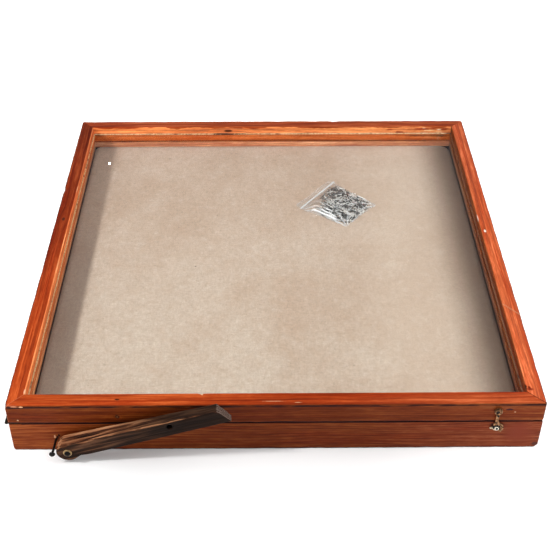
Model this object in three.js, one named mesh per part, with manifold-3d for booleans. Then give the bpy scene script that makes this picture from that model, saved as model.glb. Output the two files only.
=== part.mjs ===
// Glazed wooden specimen case with a hinged lid, shut, in millimetres.
// +X is to the right, +Y to the back and +Z up. The origin is the centre of the underside.
import * as THREE from "three";
import { mergeVertices } from "three/addons/utils/BufferGeometryUtils.js";
import Module from "manifold-3d";

const wasm = await Module();
wasm.setup();

// Case
const caseWidth = 600;
const caseDepth = 622;
const caseHeight = 71;
const stock = 19; // thickness of the box walls and the lid rails
const boxHeight = 43.1;
const seam = 0.4; // open line between the box and the lid
const arris = 0.9; // chamfer along the outer edges
const gap = 0.3; // between pieces that touch
const mitreGap = 0.15; // each side of a mitre

// Boards and lining in the box
const baseThickness = 6;
const liningTop = 35;
const liningThickness = 0.8;
const panelGap = 2; // shadow line round the lined panel
const panelCorner = 10;
const panelBackRightCorner = 18;

// Glazing
const glassTop = 58.5;
const glassThickness = 3;
const rebateDepth = 7; // how far the glass runs in under the rails' lip
const beadClearance = 0.5; // between the beads and the bed of the hinge leaf
const puttyWidth = 1.7;

// Strip hinge along the left edge
const hingeLength = 620;
const knuckleCount = 21;
const barrelRadius = 2;
const boreRadius = 1.15;
const hingePinRadius = 0.85;
const leafThickness = 0.9;
const leafWidth = 14;
const leafTongue = 1.3; // how far the leaf runs out to each of its knuckles
const hingeAxisX = -(caseWidth / 2 + barrelRadius + gap);
const hingeAxisZ = boxHeight + seam / 2;

// Wooden stay on the front
const stayPivot = { x: -233.8, z: 17.5 };
const stayAngle = THREE.MathUtils.degToRad(17.2);
const stayThickness = 17;
const stayStandOff = 3; // between the front of the box and the back of the stay
const stayBossRadius = 13.2;
const stayTopEdge = 12.2;
const stayTip = { lowX: 191, lowY: -7.6, highX: 180 };
const pegHole = { x: 123.4, y: 4.4, radius: 3.25 };
const stayScrew = { radius: 2.2, headRadius: 3.5, cupRadius: 5, spacerRadius: 5.5, play: 0.5 };
const stopNail = { x: -250.2, z: 16.5, radius: 0.95, headRadius: 3.35, reach: 20 };

// Hook and catch at the right of the front
const hookPivot = { x: 246.8, z: 60.9 };
const catchPost = { x: 247.8, z: 35.1, radius: 1.5, headRadius: 3 };
const hookThickness = 1.4;
const hookStandOff = 1.5;
const hookEye = 4.6; // radius of the hook's round head
const hookInner = 4;
const hookOuter = 7.8;
const hookRivet = { x: 0.1, y: -5.6, radius: 0.9 };
const hookScrew = { radius: 1.3, headRadius: 2.4, washerRadius: 5.1, spacerRadius: 3.4, play: 0.5 };
const catchWings = { radius: 4.1, reach: 5.8, tipRadius: 1.4, thickness: 0.8, drop: 1.8 };
const screwDepth = 10; // how far screws and the nail go into the wood

// Zip bag of pins on the lining, corner by corner from the back
const bagCorners = [
  [92, 186.2],
  [39.5, 115.6],
  [103.3, 70.8],
  [151, 125.6],
];
const bagThickness = 9;
const bagShoulder = 22;

const halfWidth = caseWidth / 2;
const halfDepth = caseDepth / 2;
const lidBottom = boxHeight + seam;

function finish(colour, roughness, metalness = 0, opacity = 1) {
  const transparent = opacity < 1;
  return new THREE.MeshStandardMaterial({ color: colour, roughness, metalness, opacity, transparent });
}

const stainedPine = finish(0xb44b21, 0.45);
const weatheredWood = finish(0x50382a, 0.8);
const plywood = finish(0xb98f60, 0.7);
const softboard = finish(0x9c7a52, 0.95);
const linen = finish(0xd2bfae, 0.9);
const clearGlass = finish(0xe8f0ee, 0.02, 0, 0.3);
const putty = finish(0xc9a284, 0.8);
const agedBrass = finish(0xa07a4a, 0.4, 1);
const blackSteel = finish(0x1c1a19, 0.5, 0.8);
const hingeSteel = finish(0x4a4642, 0.45, 0.9);
const clearFilm = finish(0xe6e6e6, 0.1, 0, 0.5);

// Booleans

function solidOf(geometry) {
  const bare = geometry.clone();
  bare.deleteAttribute("normal");
  bare.deleteAttribute("uv");
  const merged = mergeVertices(bare, 1e-4);
  const vertProperties = new Float32Array(merged.attributes.position.array);
  const triVerts = new Uint32Array(merged.index.array);
  return new wasm.Manifold(new wasm.Mesh({ numProp: 3, vertProperties, triVerts }));
}

function geometryOf(solid) {
  const mesh = solid.getMesh();
  const geometry = new THREE.BufferGeometry();
  geometry.setAttribute("position", new THREE.BufferAttribute(mesh.vertProperties, 3));
  geometry.setIndex(new THREE.BufferAttribute(mesh.triVerts, 1));
  geometry.computeVertexNormals();
  return geometry;
}

function cut(geometry, cutters) {
  const solid = cutters.reduce((left, cutter) => left.subtract(solidOf(cutter)), solidOf(geometry));
  return geometryOf(solid);
}

function join(geometries) {
  const solids = geometries.map(solidOf);
  return geometryOf(solids.reduce((sum, solid) => sum.add(solid)));
}

// Shapes

function block(x0, x1, y0, y1, z0, z1) {
  const geometry = new THREE.BoxGeometry(x1 - x0, y1 - y0, z1 - z0);
  return geometry.translate((x0 + x1) / 2, (y0 + y1) / 2, (z0 + z1) / 2);
}

function outline(points) {
  return new THREE.Shape(points.map(([x, y]) => new THREE.Vector2(x, y)));
}

function circle(x, y, radius) {
  return new THREE.Path().absarc(x, y, radius, 0, 2 * Math.PI, true);
}

function plate(shape, thickness, curveSegments = 12) {
  return new THREE.ExtrudeGeometry(shape, { depth: thickness, curveSegments, bevelEnabled: false });
}

function turned(profile, segments = 16) {
  return new THREE.LatheGeometry(
    profile.map(([radius, height]) => new THREE.Vector2(radius, height)),
    segments,
  );
}

function rectangleWithRoundCorners(halfX, halfY, radius, backRight) {
  const shape = new THREE.Shape();
  shape.absarc(halfX - backRight, halfY - backRight, backRight, 0, Math.PI / 2);
  shape.absarc(radius - halfX, halfY - radius, radius, Math.PI / 2, Math.PI);
  shape.absarc(radius - halfX, radius - halfY, radius, Math.PI, 1.5 * Math.PI);
  shape.absarc(halfX - radius, radius - halfY, radius, 1.5 * Math.PI, 2 * Math.PI);
  return shape;
}

// A strip along one side of the case. Its section is drawn as distance in from the case's
// outer face and height, and its ends are mitred to meet the next strip.
const sides = [
  { name: "front", turns: 0, halfLength: halfWidth, face: halfDepth },
  { name: "right", turns: 1, halfLength: halfDepth, face: halfWidth },
  { name: "back", turns: 2, halfLength: halfWidth, face: halfDepth },
  { name: "left", turns: 3, halfLength: halfDepth, face: halfWidth },
];

function mitredStrip(section, side) {
  const geometry = new THREE.ExtrudeGeometry(outline(section), {
    depth: 2 * side.halfLength,
    bevelEnabled: false,
  });
  const position = geometry.attributes.position;
  for (let i = 0; i < position.count; i += 1) {
    const inward = position.getX(i);
    const height = position.getY(i);
    const end = position.getZ(i) > side.halfLength ? 1 : -1;
    position.setXYZ(i, end * (side.halfLength - inward - mitreGap), inward - side.face, height);
  }
  return geometry.rotateZ((side.turns * Math.PI) / 2);
}

// A hole for a screw or nail, bored in from the front face.
function bore(x, z, radius) {
  const hole = new THREE.CylinderGeometry(radius, radius, 2 * (screwDepth + 1), 16);
  return hole.translate(x, -halfDepth, z);
}

const specimenCase = new THREE.Group();
const box = new THREE.Group();
const lid = new THREE.Group();
specimenCase.add(box, lid);

function addPiece(parent, name, geometry, material) {
  const mesh = new THREE.Mesh(geometry, material);
  mesh.name = name;
  parent.add(mesh);
  return mesh;
}

// A piece turned about its own axis that stands out of the front face.
function addFrontPiece(parent, name, geometry, material, x, z, standOff) {
  const mesh = addPiece(parent, name, geometry, material);
  mesh.position.set(x, -halfDepth - standOff, z);
  mesh.rotation.x = Math.PI;
  return mesh;
}

// Box

function addBoxWalls() {
  const section = [
    [arris, 0],
    [stock, 0],
    [stock, boxHeight],
    [arris, boxHeight],
    [0, boxHeight - arris],
    [0, arris],
  ];
  const leafBed = block(
    -halfWidth - 1,
    -halfWidth + leafWidth + gap,
    -halfDepth - 1,
    halfDepth + 1,
    boxHeight - leafThickness - gap,
    boxHeight + 1,
  );
  const frontHoles = [
    bore(stayPivot.x, stayPivot.z, stayScrew.radius + gap),
    bore(stopNail.x, stopNail.z, stopNail.radius + gap),
    bore(catchPost.x, catchPost.z, catchPost.radius + gap),
  ];
  for (const side of sides) {
    const cutters = side.name === "front" ? [leafBed, ...frontHoles] : [leafBed];
    addPiece(box, `box_wall_${side.name}`, cut(mitredStrip(section, side), cutters), stainedPine);
  }
}

function addBoards() {
  const insideX = halfWidth - stock;
  const insideY = halfDepth - stock;
  const base = block(gap - insideX, insideX - gap, gap - insideY, insideY - gap, 0, baseThickness);
  addPiece(box, "base_board", base, plywood);

  const halfX = insideX - panelGap;
  const halfY = insideY - gap * 2;
  const panel = rectangleWithRoundCorners(halfX, halfY, panelCorner, panelBackRightCorner);
  const boardBottom = baseThickness + gap;
  const boardTop = liningTop - liningThickness - gap;
  const board = addPiece(box, "pinning_board", plate(panel, boardTop - boardBottom, 4), softboard);
  board.position.z = boardBottom;
  const lining = addPiece(box, "linen_lining", plate(panel, liningThickness, 4), linen);
  lining.position.z = liningTop - liningThickness;
}

// Lid

function addLidRails() {
  const lipBottom = glassTop + gap;
  const rebate = stock - rebateDepth;
  const section = [
    [arris, lidBottom],
    [rebate, lidBottom],
    [rebate, lipBottom],
    [stock, lipBottom],
    [stock, caseHeight - arris / 2],
    [stock - arris / 2, caseHeight],
    [arris, caseHeight],
    [0, caseHeight - arris],
    [0, lidBottom + arris],
  ];
  const leafBed = block(
    -halfWidth - 1,
    -halfWidth + leafWidth + gap,
    -halfDepth - 1,
    halfDepth + 1,
    lidBottom - 1,
    lidBottom + leafThickness + gap,
  );
  const hookHole = bore(hookPivot.x, hookPivot.z, hookScrew.radius + gap);
  for (const side of sides) {
    const cutters = side.name === "front" ? [leafBed, hookHole] : [leafBed];
    addPiece(lid, `lid_rail_${side.name}`, cut(mitredStrip(section, side), cutters), stainedPine);
  }
}

function addGlazing() {
  const edge = stock - rebateDepth + gap;
  const glassBottom = glassTop - glassThickness;
  const pane = block(
    edge - halfWidth,
    halfWidth - edge,
    edge - halfDepth,
    halfDepth - edge,
    glassBottom,
    glassTop,
  );
  addPiece(lid, "glass_pane", pane, clearGlass);

  // The beads end above the bed that is cut for the lid's hinge leaf.
  const beadBottom = lidBottom + leafThickness + gap + beadClearance;
  const beadSection = [
    [edge, beadBottom],
    [stock, beadBottom],
    [stock, glassBottom - gap],
    [edge, glassBottom - gap],
  ];
  const puttySection = [
    [stock + gap, glassTop + gap],
    [stock + gap + puttyWidth, glassTop + gap],
    [stock + gap, glassTop + gap + puttyWidth],
  ];
  for (const side of sides) {
    addPiece(lid, `glass_bead_${side.name}`, mitredStrip(beadSection, side), stainedPine);
    addPiece(lid, `putty_line_${side.name}`, mitredStrip(puttySection, side), putty);
  }
}

// Hinge: two leaves with alternate knuckles round one pin

function addHinge() {
  const pitch = hingeLength / knuckleCount;
  const ring = new THREE.Shape().absarc(0, 0, barrelRadius, 0, 2 * Math.PI);
  ring.holes.push(circle(0, 0, boreRadius));
  const leaves = [
    { parent: box, name: "hinge_leaf_box", top: boxHeight, remainder: 0 },
    { parent: lid, name: "hinge_leaf_lid", top: lidBottom + leafThickness, remainder: 1 },
  ];
  for (const leaf of leaves) {
    const low = leaf.top - leafThickness;
    const innerX = -halfWidth + leafWidth;
    const pieces = [
      block(-halfWidth - 0.1, innerX, -hingeLength / 2, hingeLength / 2, low, leaf.top),
    ];
    for (let i = 0; i < knuckleCount; i += 1) {
      if (i % 2 !== leaf.remainder) continue;
      const start = -hingeLength / 2 + i * pitch + gap / 2;
      const end = start + pitch - gap;
      const knuckle = plate(ring, pitch - gap, 5).rotateX(Math.PI / 2);
      pieces.push(knuckle.translate(hingeAxisX, end, hingeAxisZ));
      pieces.push(block(-halfWidth - leafTongue, -halfWidth + 1, start, end, low, leaf.top));
    }
    addPiece(leaf.parent, leaf.name, join(pieces), hingeSteel);
  }
  const pin = new THREE.CylinderGeometry(hingePinRadius, hingePinRadius, hingeLength, 12);
  const pinMesh = addPiece(box, "hinge_pin", pin, hingeSteel);
  pinMesh.position.set(hingeAxisX, 0, hingeAxisZ);
}

// Stay: a wooden arm on one screw, with a nail that stops it past upright

function stayOutline() {
  const shape = new THREE.Shape();
  shape.moveTo(stayTip.lowX, stayTip.lowY);
  shape.lineTo(stayTip.highX, stayTopEdge);
  shape.lineTo(-3, stayTopEdge);
  const firstAngle = THREE.MathUtils.degToRad(150);
  const lastAngle = THREE.MathUtils.degToRad(300);
  shape.absarc(0, 0, stayBossRadius, firstAngle, lastAngle);
  shape.lineTo(12, -9.3);
  shape.lineTo(24, -10.4);
  shape.holes.push(circle(0, 0, stayScrew.radius + stayScrew.play));
  shape.holes.push(circle(pegHole.x, pegHole.y, pegHole.radius));
  return shape;
}

function addStay() {
  const stay = new THREE.Group();
  stay.position.set(stayPivot.x, -halfDepth - stayStandOff, stayPivot.z);
  stay.rotation.set(Math.PI / 2, 0, stayAngle);
  specimenCase.add(stay);
  addPiece(stay, "stay_arm", plate(stayOutline(), stayThickness), weatheredWood);

  const hole = stayScrew.radius + stayScrew.play;
  const cup = turned([
    [hole, 0],
    [stayScrew.cupRadius, 0],
    [stayScrew.cupRadius, 0.5],
    [stayScrew.cupRadius * 0.8, 1.5],
    [hole, 0.9],
    [hole, 0],
  ]);
  const cupMesh = addPiece(stay, "stay_cup_washer", cup, agedBrass);
  cupMesh.position.z = stayThickness + gap;
  cupMesh.rotation.x = Math.PI / 2;

  const shankLength = stayStandOff + stayThickness + gap + 1.3;
  const screw = turned([
    [0, -screwDepth],
    [stayScrew.radius, -screwDepth],
    [stayScrew.radius, shankLength],
    [stayScrew.headRadius, shankLength + 0.3],
    [stayScrew.headRadius * 0.9, shankLength + 1.3],
    [stayScrew.headRadius * 0.5, shankLength + 2],
    [0, shankLength + 2.2],
  ]);
  addFrontPiece(box, "stay_screw", screw, blackSteel, stayPivot.x, stayPivot.z, 0);

  const spacer = turned([
    [hole, 0],
    [stayScrew.spacerRadius, 0],
    [stayScrew.spacerRadius, stayStandOff - 2 * gap],
    [hole, stayStandOff - 2 * gap],
    [hole, 0],
  ]);
  addFrontPiece(box, "stay_spacer", spacer, agedBrass, stayPivot.x, stayPivot.z, gap);

  const nail = turned([
    [0, -screwDepth],
    [stopNail.radius, -screwDepth],
    [stopNail.radius, stopNail.reach],
    [stopNail.headRadius, stopNail.reach + 0.5],
    [stopNail.headRadius * 0.8, stopNail.reach + 1.7],
    [stopNail.headRadius * 0.4, stopNail.reach + 2.3],
    [0, stopNail.reach + 2.5],
  ]);
  addFrontPiece(box, "stop_nail", nail, blackSteel, stopNail.x, stopNail.z, 0);
}

// Latch: a flat hook on the lid that swings under a headed post on the box

function hookOutline() {
  const postX = catchPost.x - hookPivot.x;
  const postY = catchPost.z - hookPivot.z;
  const beak = THREE.MathUtils.degToRad(140);
  const lip = THREE.MathUtils.degToRad(-68);
  const shape = new THREE.Shape();
  shape.absarc(0, 0, hookEye, THREE.MathUtils.degToRad(-62), THREE.MathUtils.degToRad(242));
  shape.lineTo(-1.5, -8);
  shape.lineTo(-1.7, -17);
  shape.lineTo(-3.2, -20);
  shape.absarc(postX, postY, hookInner, beak, lip, true);
  shape.absarc(postX, postY, hookOuter, lip + 0.3, THREE.MathUtils.degToRad(72));
  shape.lineTo(2.2, -15);
  shape.lineTo(1.7, -8);
  shape.holes.push(circle(0, 0, hookScrew.radius + hookScrew.play));
  shape.holes.push(circle(hookRivet.x, hookRivet.y, hookRivet.radius));
  return shape;
}

function addLatch() {
  const hook = new THREE.Group();
  hook.position.set(hookPivot.x, -halfDepth - hookStandOff, hookPivot.z);
  hook.rotation.x = Math.PI / 2;
  specimenCase.add(hook);
  addPiece(hook, "hook", plate(hookOutline(), hookThickness, 8), agedBrass);

  const hole = hookScrew.radius + hookScrew.play;
  const washer = turned([
    [hole, 0],
    [hookScrew.washerRadius, 0],
    [hookScrew.washerRadius - 0.2, 0.5],
    [hookScrew.washerRadius * 0.7, 1.3],
    [hole, 1.6],
    [hole, 0],
  ]);
  const washerMesh = addPiece(hook, "hook_washer", washer, agedBrass);
  washerMesh.position.z = hookThickness + gap;
  washerMesh.rotation.x = Math.PI / 2;

  const spacer = turned([
    [hole, 0],
    [hookScrew.spacerRadius, 0],
    [hookScrew.spacerRadius, hookStandOff - 2 * gap],
    [hole, hookStandOff - 2 * gap],
    [hole, 0],
  ]);
  addFrontPiece(lid, "hook_spacer", spacer, agedBrass, hookPivot.x, hookPivot.z, gap);

  const screwReach = hookStandOff + hookThickness + gap + 1.9;
  const screw = turned([
    [0, -screwDepth],
    [hookScrew.radius, -screwDepth],
    [hookScrew.radius, screwReach],
    [hookScrew.headRadius, screwReach + 0.2],
    [hookScrew.headRadius - 0.4, screwReach + 0.9],
    [0, screwReach + 1.3],
  ]);
  addFrontPiece(lid, "hook_screw", screw, blackSteel, hookPivot.x, hookPivot.z, 0);

  const { radius, reach, tipRadius } = catchWings;
  const wingAngle = THREE.MathUtils.degToRad(20);
  const wings = new THREE.Shape();
  wings.absarc(0, 0, radius, wingAngle, Math.PI - wingAngle);
  wings.absarc(-reach, 0, tipRadius, Math.PI / 2, 1.5 * Math.PI);
  wings.absarc(0, 0, radius, Math.PI + wingAngle, 2 * Math.PI - wingAngle);
  wings.absarc(reach, 0, tipRadius, -Math.PI / 2, Math.PI / 2);
  wings.holes.push(circle(0, catchWings.drop, catchPost.radius + gap));
  const plateMesh = addPiece(box, "catch_plate", plate(wings, catchWings.thickness, 6), agedBrass);
  plateMesh.position.set(catchPost.x, -halfDepth - gap, catchPost.z - catchWings.drop);
  plateMesh.rotation.x = Math.PI / 2;

  const postReach = hookStandOff + hookThickness + 0.4;
  const post = turned([
    [0, -screwDepth],
    [catchPost.radius, -screwDepth],
    [catchPost.radius, postReach],
    [catchPost.headRadius, postReach + 0.2],
    [catchPost.headRadius * 0.8, postReach + 1.3],
    [catchPost.headRadius * 0.45, postReach + 1.5],
    [catchPost.headRadius * 0.35, postReach + 0.5],
    [0, postReach + 0.4],
  ]);
  addFrontPiece(box, "catch_post", post, agedBrass, catchPost.x, catchPost.z, 0);
}

// Bag: a low pillow that lies on the lining

function addBag() {
  const geometry = new THREE.ExtrudeGeometry(outline(bagCorners), {
    depth: 1,
    bevelThickness: (bagThickness - 1) / 2,
    bevelSize: bagShoulder,
    bevelOffset: -bagShoulder,
    bevelSegments: 4,
  });
  const bag = addPiece(box, "zip_bag", geometry, clearFilm);
  bag.position.z = liningTop + gap + (bagThickness - 1) / 2;
}

addBoxWalls();
addBoards();
addLidRails();
addGlazing();
addHinge();
addStay();
addLatch();
addBag();

export default specimenCase;
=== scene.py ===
import math
import random

import bmesh
import bpy
from mathutils import Matrix, Vector, noise


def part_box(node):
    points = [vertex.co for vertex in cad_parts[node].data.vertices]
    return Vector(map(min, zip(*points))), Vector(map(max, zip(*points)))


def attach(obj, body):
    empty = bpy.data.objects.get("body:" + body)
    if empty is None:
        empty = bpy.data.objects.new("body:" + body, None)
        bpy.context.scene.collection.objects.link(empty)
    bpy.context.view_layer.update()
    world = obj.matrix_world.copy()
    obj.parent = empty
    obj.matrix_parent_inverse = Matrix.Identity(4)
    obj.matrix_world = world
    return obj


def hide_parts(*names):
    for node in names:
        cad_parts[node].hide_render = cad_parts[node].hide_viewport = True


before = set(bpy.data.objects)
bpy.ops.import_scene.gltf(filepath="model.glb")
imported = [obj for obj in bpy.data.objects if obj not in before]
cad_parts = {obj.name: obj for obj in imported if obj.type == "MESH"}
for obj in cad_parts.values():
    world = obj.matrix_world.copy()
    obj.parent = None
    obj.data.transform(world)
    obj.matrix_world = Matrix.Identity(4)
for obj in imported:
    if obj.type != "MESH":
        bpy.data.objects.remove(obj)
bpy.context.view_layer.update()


# Node and mesh helpers

active = {}  # the node tree that is being built


def feed(socket, value):
    if isinstance(value, bpy.types.NodeSocket):
        active["tree"].links.new(value, socket)
    elif socket.type == "RGBA":
        socket.default_value = (*value, 1)
    else:
        socket.default_value = value


def put(kind, inputs=None, **settings):
    made = active["tree"].nodes.new("ShaderNode" + kind)
    for key, value in settings.items():
        setattr(made, key, value)
    for key, value in (inputs or {}).items():
        feed(made.inputs[key], value)
    return made


def sums(operation, *values, clamp=False):
    made = put("Math", dict(enumerate(values)), operation=operation, use_clamp=clamp)
    return made.outputs[0]


def vectors(operation, *values):
    made = put("VectorMath", dict(enumerate(values)), operation=operation)
    return made.outputs["Value" if operation == "LENGTH" else "Vector"]


def weighted(*pairs, start=0.0):
    total = start
    for value, weight in pairs:
        total = sums("MULTIPLY_ADD", value, weight, total)
    return total


def scaled(vector, factor):
    return put("VectorMath", {0: vector, "Scale": factor}, operation="SCALE").outputs["Vector"]


def blend(factor, first, second, mode="MIX"):
    made = put("Mix", {0: factor, 6: first, 7: second}, data_type="RGBA", blend_type=mode)
    return made.outputs[2]


def fade(value, start, end, atStart=0.0, atEnd=1.0):
    inputs = {0: value, 1: start, 2: end, 3: atStart, 4: atEnd}
    return put("MapRange", inputs, interpolation_type="SMOOTHSTEP").outputs[0]


def cloud(vector, stretch, detail=2.0, roughness=0.5):
    inputs = {"Vector": vectors("MULTIPLY", vector, stretch), "Scale": 1.0}
    inputs.update({"Detail": detail, "Roughness": roughness})
    return put("TexNoise", inputs).outputs["Fac"]


def ramp(value, stops):
    made = put("ValToRGB", {0: value})
    elements = made.color_ramp.elements
    elements.remove(elements[1])
    elements[0].position = stops[0][0]
    elements[0].color = (*stops[0][1], 1)
    for place, colour in stops[1:]:
        elements.new(place).color = (*colour, 1)
    return made.outputs["Color"]


def grey(value):
    return (value, value, value)


def startMaterial(name):
    material = bpy.data.materials.new(name)
    material.use_nodes = True
    active["tree"] = material.node_tree
    return material, put("TexCoord").outputs["Object"]


def finishMaterial(material, inputs, height=None, depth=0.0001, strength=1.0):
    # Feeds the shader's inputs, and a bump where there is a height
    shader = material.node_tree.nodes["Principled BSDF"]
    for key, value in inputs.items():
        feed(shader.inputs[key], value)
    if height is not None:
        made = put("Bump", {"Strength": strength, "Distance": depth, "Height": height})
        feed(shader.inputs["Normal"], made.outputs["Normal"])
    return material


def within(place, at, size):
    # Where a point lies in an ellipsoid, as shares of its half sizes in millimetres
    away = vectors("SUBTRACT", place, metre(*at))
    return vectors("MULTIPLY", away, tuple(1 / length for length in metre(*size)))


def spot(place, at, size, core=0.6, ragged=900):
    # A blot with a ragged edge, at its full strength within the core
    away = vectors("LENGTH", within(place, at, size))
    away = sums("ADD", away, sums("SUBTRACT", cloud(place, grey(ragged), 3), 0.5))
    return fade(away, 1.0, core)


def newObject(name, data):
    made = bpy.data.objects.new(name, data)
    bpy.context.scene.collection.objects.link(made)
    return made


def toMesh(name, bm):
    mesh = bpy.data.meshes.new(name)
    bm.to_mesh(mesh)
    bm.free()
    return mesh


def addPiece(name, bm, body, material, replaces=(), sharp=35):
    mesh = toMesh(name, bm)
    mesh.shade_smooth()
    mesh.set_sharp_from_angle(angle=math.radians(sharp))
    mesh.materials.append(material)
    piece = newObject(name, mesh)
    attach(piece, body)
    if replaces:
        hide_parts(*replaces)
    return piece


def keepNode(name, material):
    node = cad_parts[name]
    node.data.materials.clear()
    node.data.materials.append(material)


def bevelAll(bm, offset, segments=2, angle=25):
    edges = [edge for edge in bm.edges if edge.calc_face_angle(0) > math.radians(angle)]
    bmesh.ops.bevel(bm, geom=edges, offset=offset, offset_type="OFFSET", segments=segments,
                    profile=0.5, affect="EDGES", material=-1, clamp_overlap=True)


def cuboid(bm, low, high):
    size = Vector(high) - Vector(low)
    middle = (Vector(high) + Vector(low)) / 2
    bmesh.ops.create_cube(bm, size=1, matrix=Matrix.Translation(middle) @ Matrix.Diagonal((*size, 1)))


def rod(bm, middle, radius, length, segments):
    # A round bar along Y
    placed = Matrix.Translation(middle) @ Matrix.Rotation(math.pi / 2, 4, "X")
    return bmesh.ops.create_cone(bm, cap_ends=True, segments=segments, radius1=radius, radius2=radius,
                                 depth=length, matrix=placed)["verts"]


def turnedShape(bm, profile, steps=40):
    # A profile of (radius, reach) points in millimetres, spun about Y, reaching out to -Y
    verts = [bm.verts.new((radius / 1000, -reach / 1000, 0)) for radius, reach in profile]
    edges = [bm.edges.new(pair) for pair in zip(verts, verts[1:])]
    before = set(bm.verts) - set(verts)
    bmesh.ops.spin(bm, geom=verts + edges, axis=(0, 1, 0), cent=(0, 0, 0), angle=2 * math.pi,
                   steps=steps, use_merge=True)
    made = [vert for vert in bm.verts if vert not in before]
    bmesh.ops.remove_doubles(bm, verts=made, dist=1e-6)
    made = [vert for vert in bm.verts if vert not in before]
    bmesh.ops.recalc_face_normals(bm, faces=list({face for vert in made for face in vert.link_faces}))
    return made


def turnedPiece(name, profile, steps, place, body, material, replaces=()):
    bm = bmesh.new()
    turnedShape(bm, profile, steps)
    bmesh.ops.translate(bm, verts=bm.verts, vec=place)
    addPiece(name, bm, body, material, replaces, 30)


def arc(x, z, radius, start, end, steps):
    turns = [math.radians(start + (end - start) * step / steps) for step in range(steps + 1)]
    return [(x + radius * math.cos(turn), z + radius * math.sin(turn)) for turn in turns]


def plateShape(bm, outline, thickness):
    # An outline in X and Z in millimetres, drawn out towards -Y
    face = bm.faces.new([bm.verts.new((x / 1000, 0, z / 1000)) for x, z in outline])
    grown = bmesh.ops.extrude_face_region(bm, geom=[face])["geom"]
    moved = [item for item in grown if isinstance(item, bmesh.types.BMVert)]
    bmesh.ops.translate(bm, verts=moved, vec=(0, -thickness, 0))
    bmesh.ops.recalc_face_normals(bm, faces=bm.faces)


def roundedIn(point, halfX, halfY, radius):
    # Brings a point in to the rounded corner of a plan
    beyond = Vector((abs(point.x) - halfX + radius, abs(point.y) - halfY + radius))
    if beyond.x > 0 and beyond.y > 0 and beyond.length > radius:
        beyond *= radius / beyond.length
        point.x = math.copysign(halfX - radius + beyond.x, point.x)
        point.y = math.copysign(halfY - radius + beyond.y, point.y)


def cutWith(bm, cutterShape, name):
    # Takes the cutter's shape away, and gives back a new bmesh
    blank = newObject(name, toMesh(name, bm))
    tool = newObject(name + "Tool", toMesh(name + "Tool", cutterShape))
    cut = blank.modifiers.new("cut", "BOOLEAN")
    cut.operation = "DIFFERENCE"
    cut.solver = "EXACT"
    cut.object = tool
    return bakedShape(blank, tool)


def bakedShape(item, *tools):
    # The item's mesh with its modifiers, as a new bmesh, in place of the objects
    graph = bpy.context.evaluated_depsgraph_get()
    shaped = bpy.data.meshes.new_from_object(item.evaluated_get(graph), depsgraph=graph)
    for used in (item, *tools):
        bpy.data.objects.remove(used)
    made = bmesh.new()
    made.from_mesh(shaped)
    bpy.data.meshes.remove(shaped)
    return made


def metre(*lengths):
    return tuple(length / 1000 for length in lengths)


# View and light

view = {
    "place": (-0.00954, -1.09713, 0.88001),
    "tilt": 51.490,
    "turn": -0.569,
    "roll": 0.094,
    "lens": 66.36,
    "sensor": 36,
}

lights = [
    {"name": "overhead", "place": (0.0, -0.55, 2.1), "aim": (0, 0.05, 0), "size": (2.6, 1.7), "watts": 16},
    {"name": "key", "place": (-1.75, -0.72, 1.60), "aim": (0, 0, 0.03), "size": (0.22, 0.22), "watts": 35},
    {"name": "rightFill", "place": (1.5, -0.1, 1.5), "aim": (0, -0.1, 0.05), "size": (1.5, 1.5), "watts": 28},
    {"name": "glint", "place": (-0.5974, 2.1325, 1.27), "aim": (-0.248, 0.208, 0.058),
     "size": (0.006, 0.006), "watts": 0.006},
]

studio = {
    "sky": [(0.0, grey(0.9)), (0.3, grey(0.7)), (0.5, grey(0.16)), (0.7, grey(0.10)), (1.0, grey(0.3))],
    "floor": 0.76,
    "glow": 0.7,
    "nearGlow": 0.13,
    "dimMiddle": (-0.03, -0.33, 0),
    "dimStretch": (2.25, 5.5, 1),
    "floorSize": 16,
    "floorDrop": 0.0003,
}


def addCamera():
    data = bpy.data.cameras.new("camera")
    data.lens = view["lens"]
    data.sensor_width = view["sensor"]
    data.clip_start = 0.01
    camera = newObject("camera", data)
    camera.location = view["place"]
    turned = Matrix.Identity(3)
    for key, axis in (("turn", "Z"), ("tilt", "X"), ("roll", "Z")):
        turned = turned @ Matrix.Rotation(math.radians(view[key]), 3, axis)
    camera.rotation_euler = turned.to_euler()
    bpy.context.scene.camera = camera
    bpy.context.scene.view_settings.view_transform = "Standard"


def addLights():
    for light in lights:
        data = bpy.data.lights.new(light["name"], "AREA")
        data.shape = "RECTANGLE"
        data.size, data.size_y = light["size"]
        data.energy = light["watts"]
        lamp = newObject(light["name"], data)
        lamp.location = light["place"]
        aim = Vector(light["aim"]) - Vector(light["place"])
        lamp.rotation_euler = aim.to_track_quat("-Z", "Y").to_euler()


def addStudio():
    world = bpy.data.worlds.new("studio")
    world.use_nodes = True
    active["tree"] = world.node_tree
    height = put("SeparateXYZ", {0: put("TexCoord").outputs["Generated"]}).outputs["Z"]
    feed(world.node_tree.nodes["Background"].inputs["Color"], ramp(height, studio["sky"]))
    bpy.context.scene.world = world

    bm = bmesh.new()
    bmesh.ops.create_grid(bm, x_segments=1, y_segments=1, size=studio["floorSize"] / 2)
    floor = newObject("floor", toMesh("floor", bm))
    floor.location.z = -studio["floorDrop"]
    material, place = startMaterial("floorPaper")
    # The paper glows by emission, as painted light, and glows less before the case, as painted shade under
    # the arm
    away = vectors("MULTIPLY", vectors("SUBTRACT", place, studio["dimMiddle"]), studio["dimStretch"])
    glow = fade(vectors("LENGTH", away), 0.25, 1.0, studio["nearGlow"], studio["glow"])
    finishMaterial(material, {
        "Base Color": grey(studio["floor"]),
        "Roughness": 0.9,
        "Specular IOR Level": 0.1,
        "Emission Color": grey(1),
        "Emission Strength": glow,
    })
    floor.data.materials.append(material)


addCamera()
addLights()
addStudio()
print("view and light set")


# Stained pine: growth rings round a far centre, so the lines run on over each edge

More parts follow.
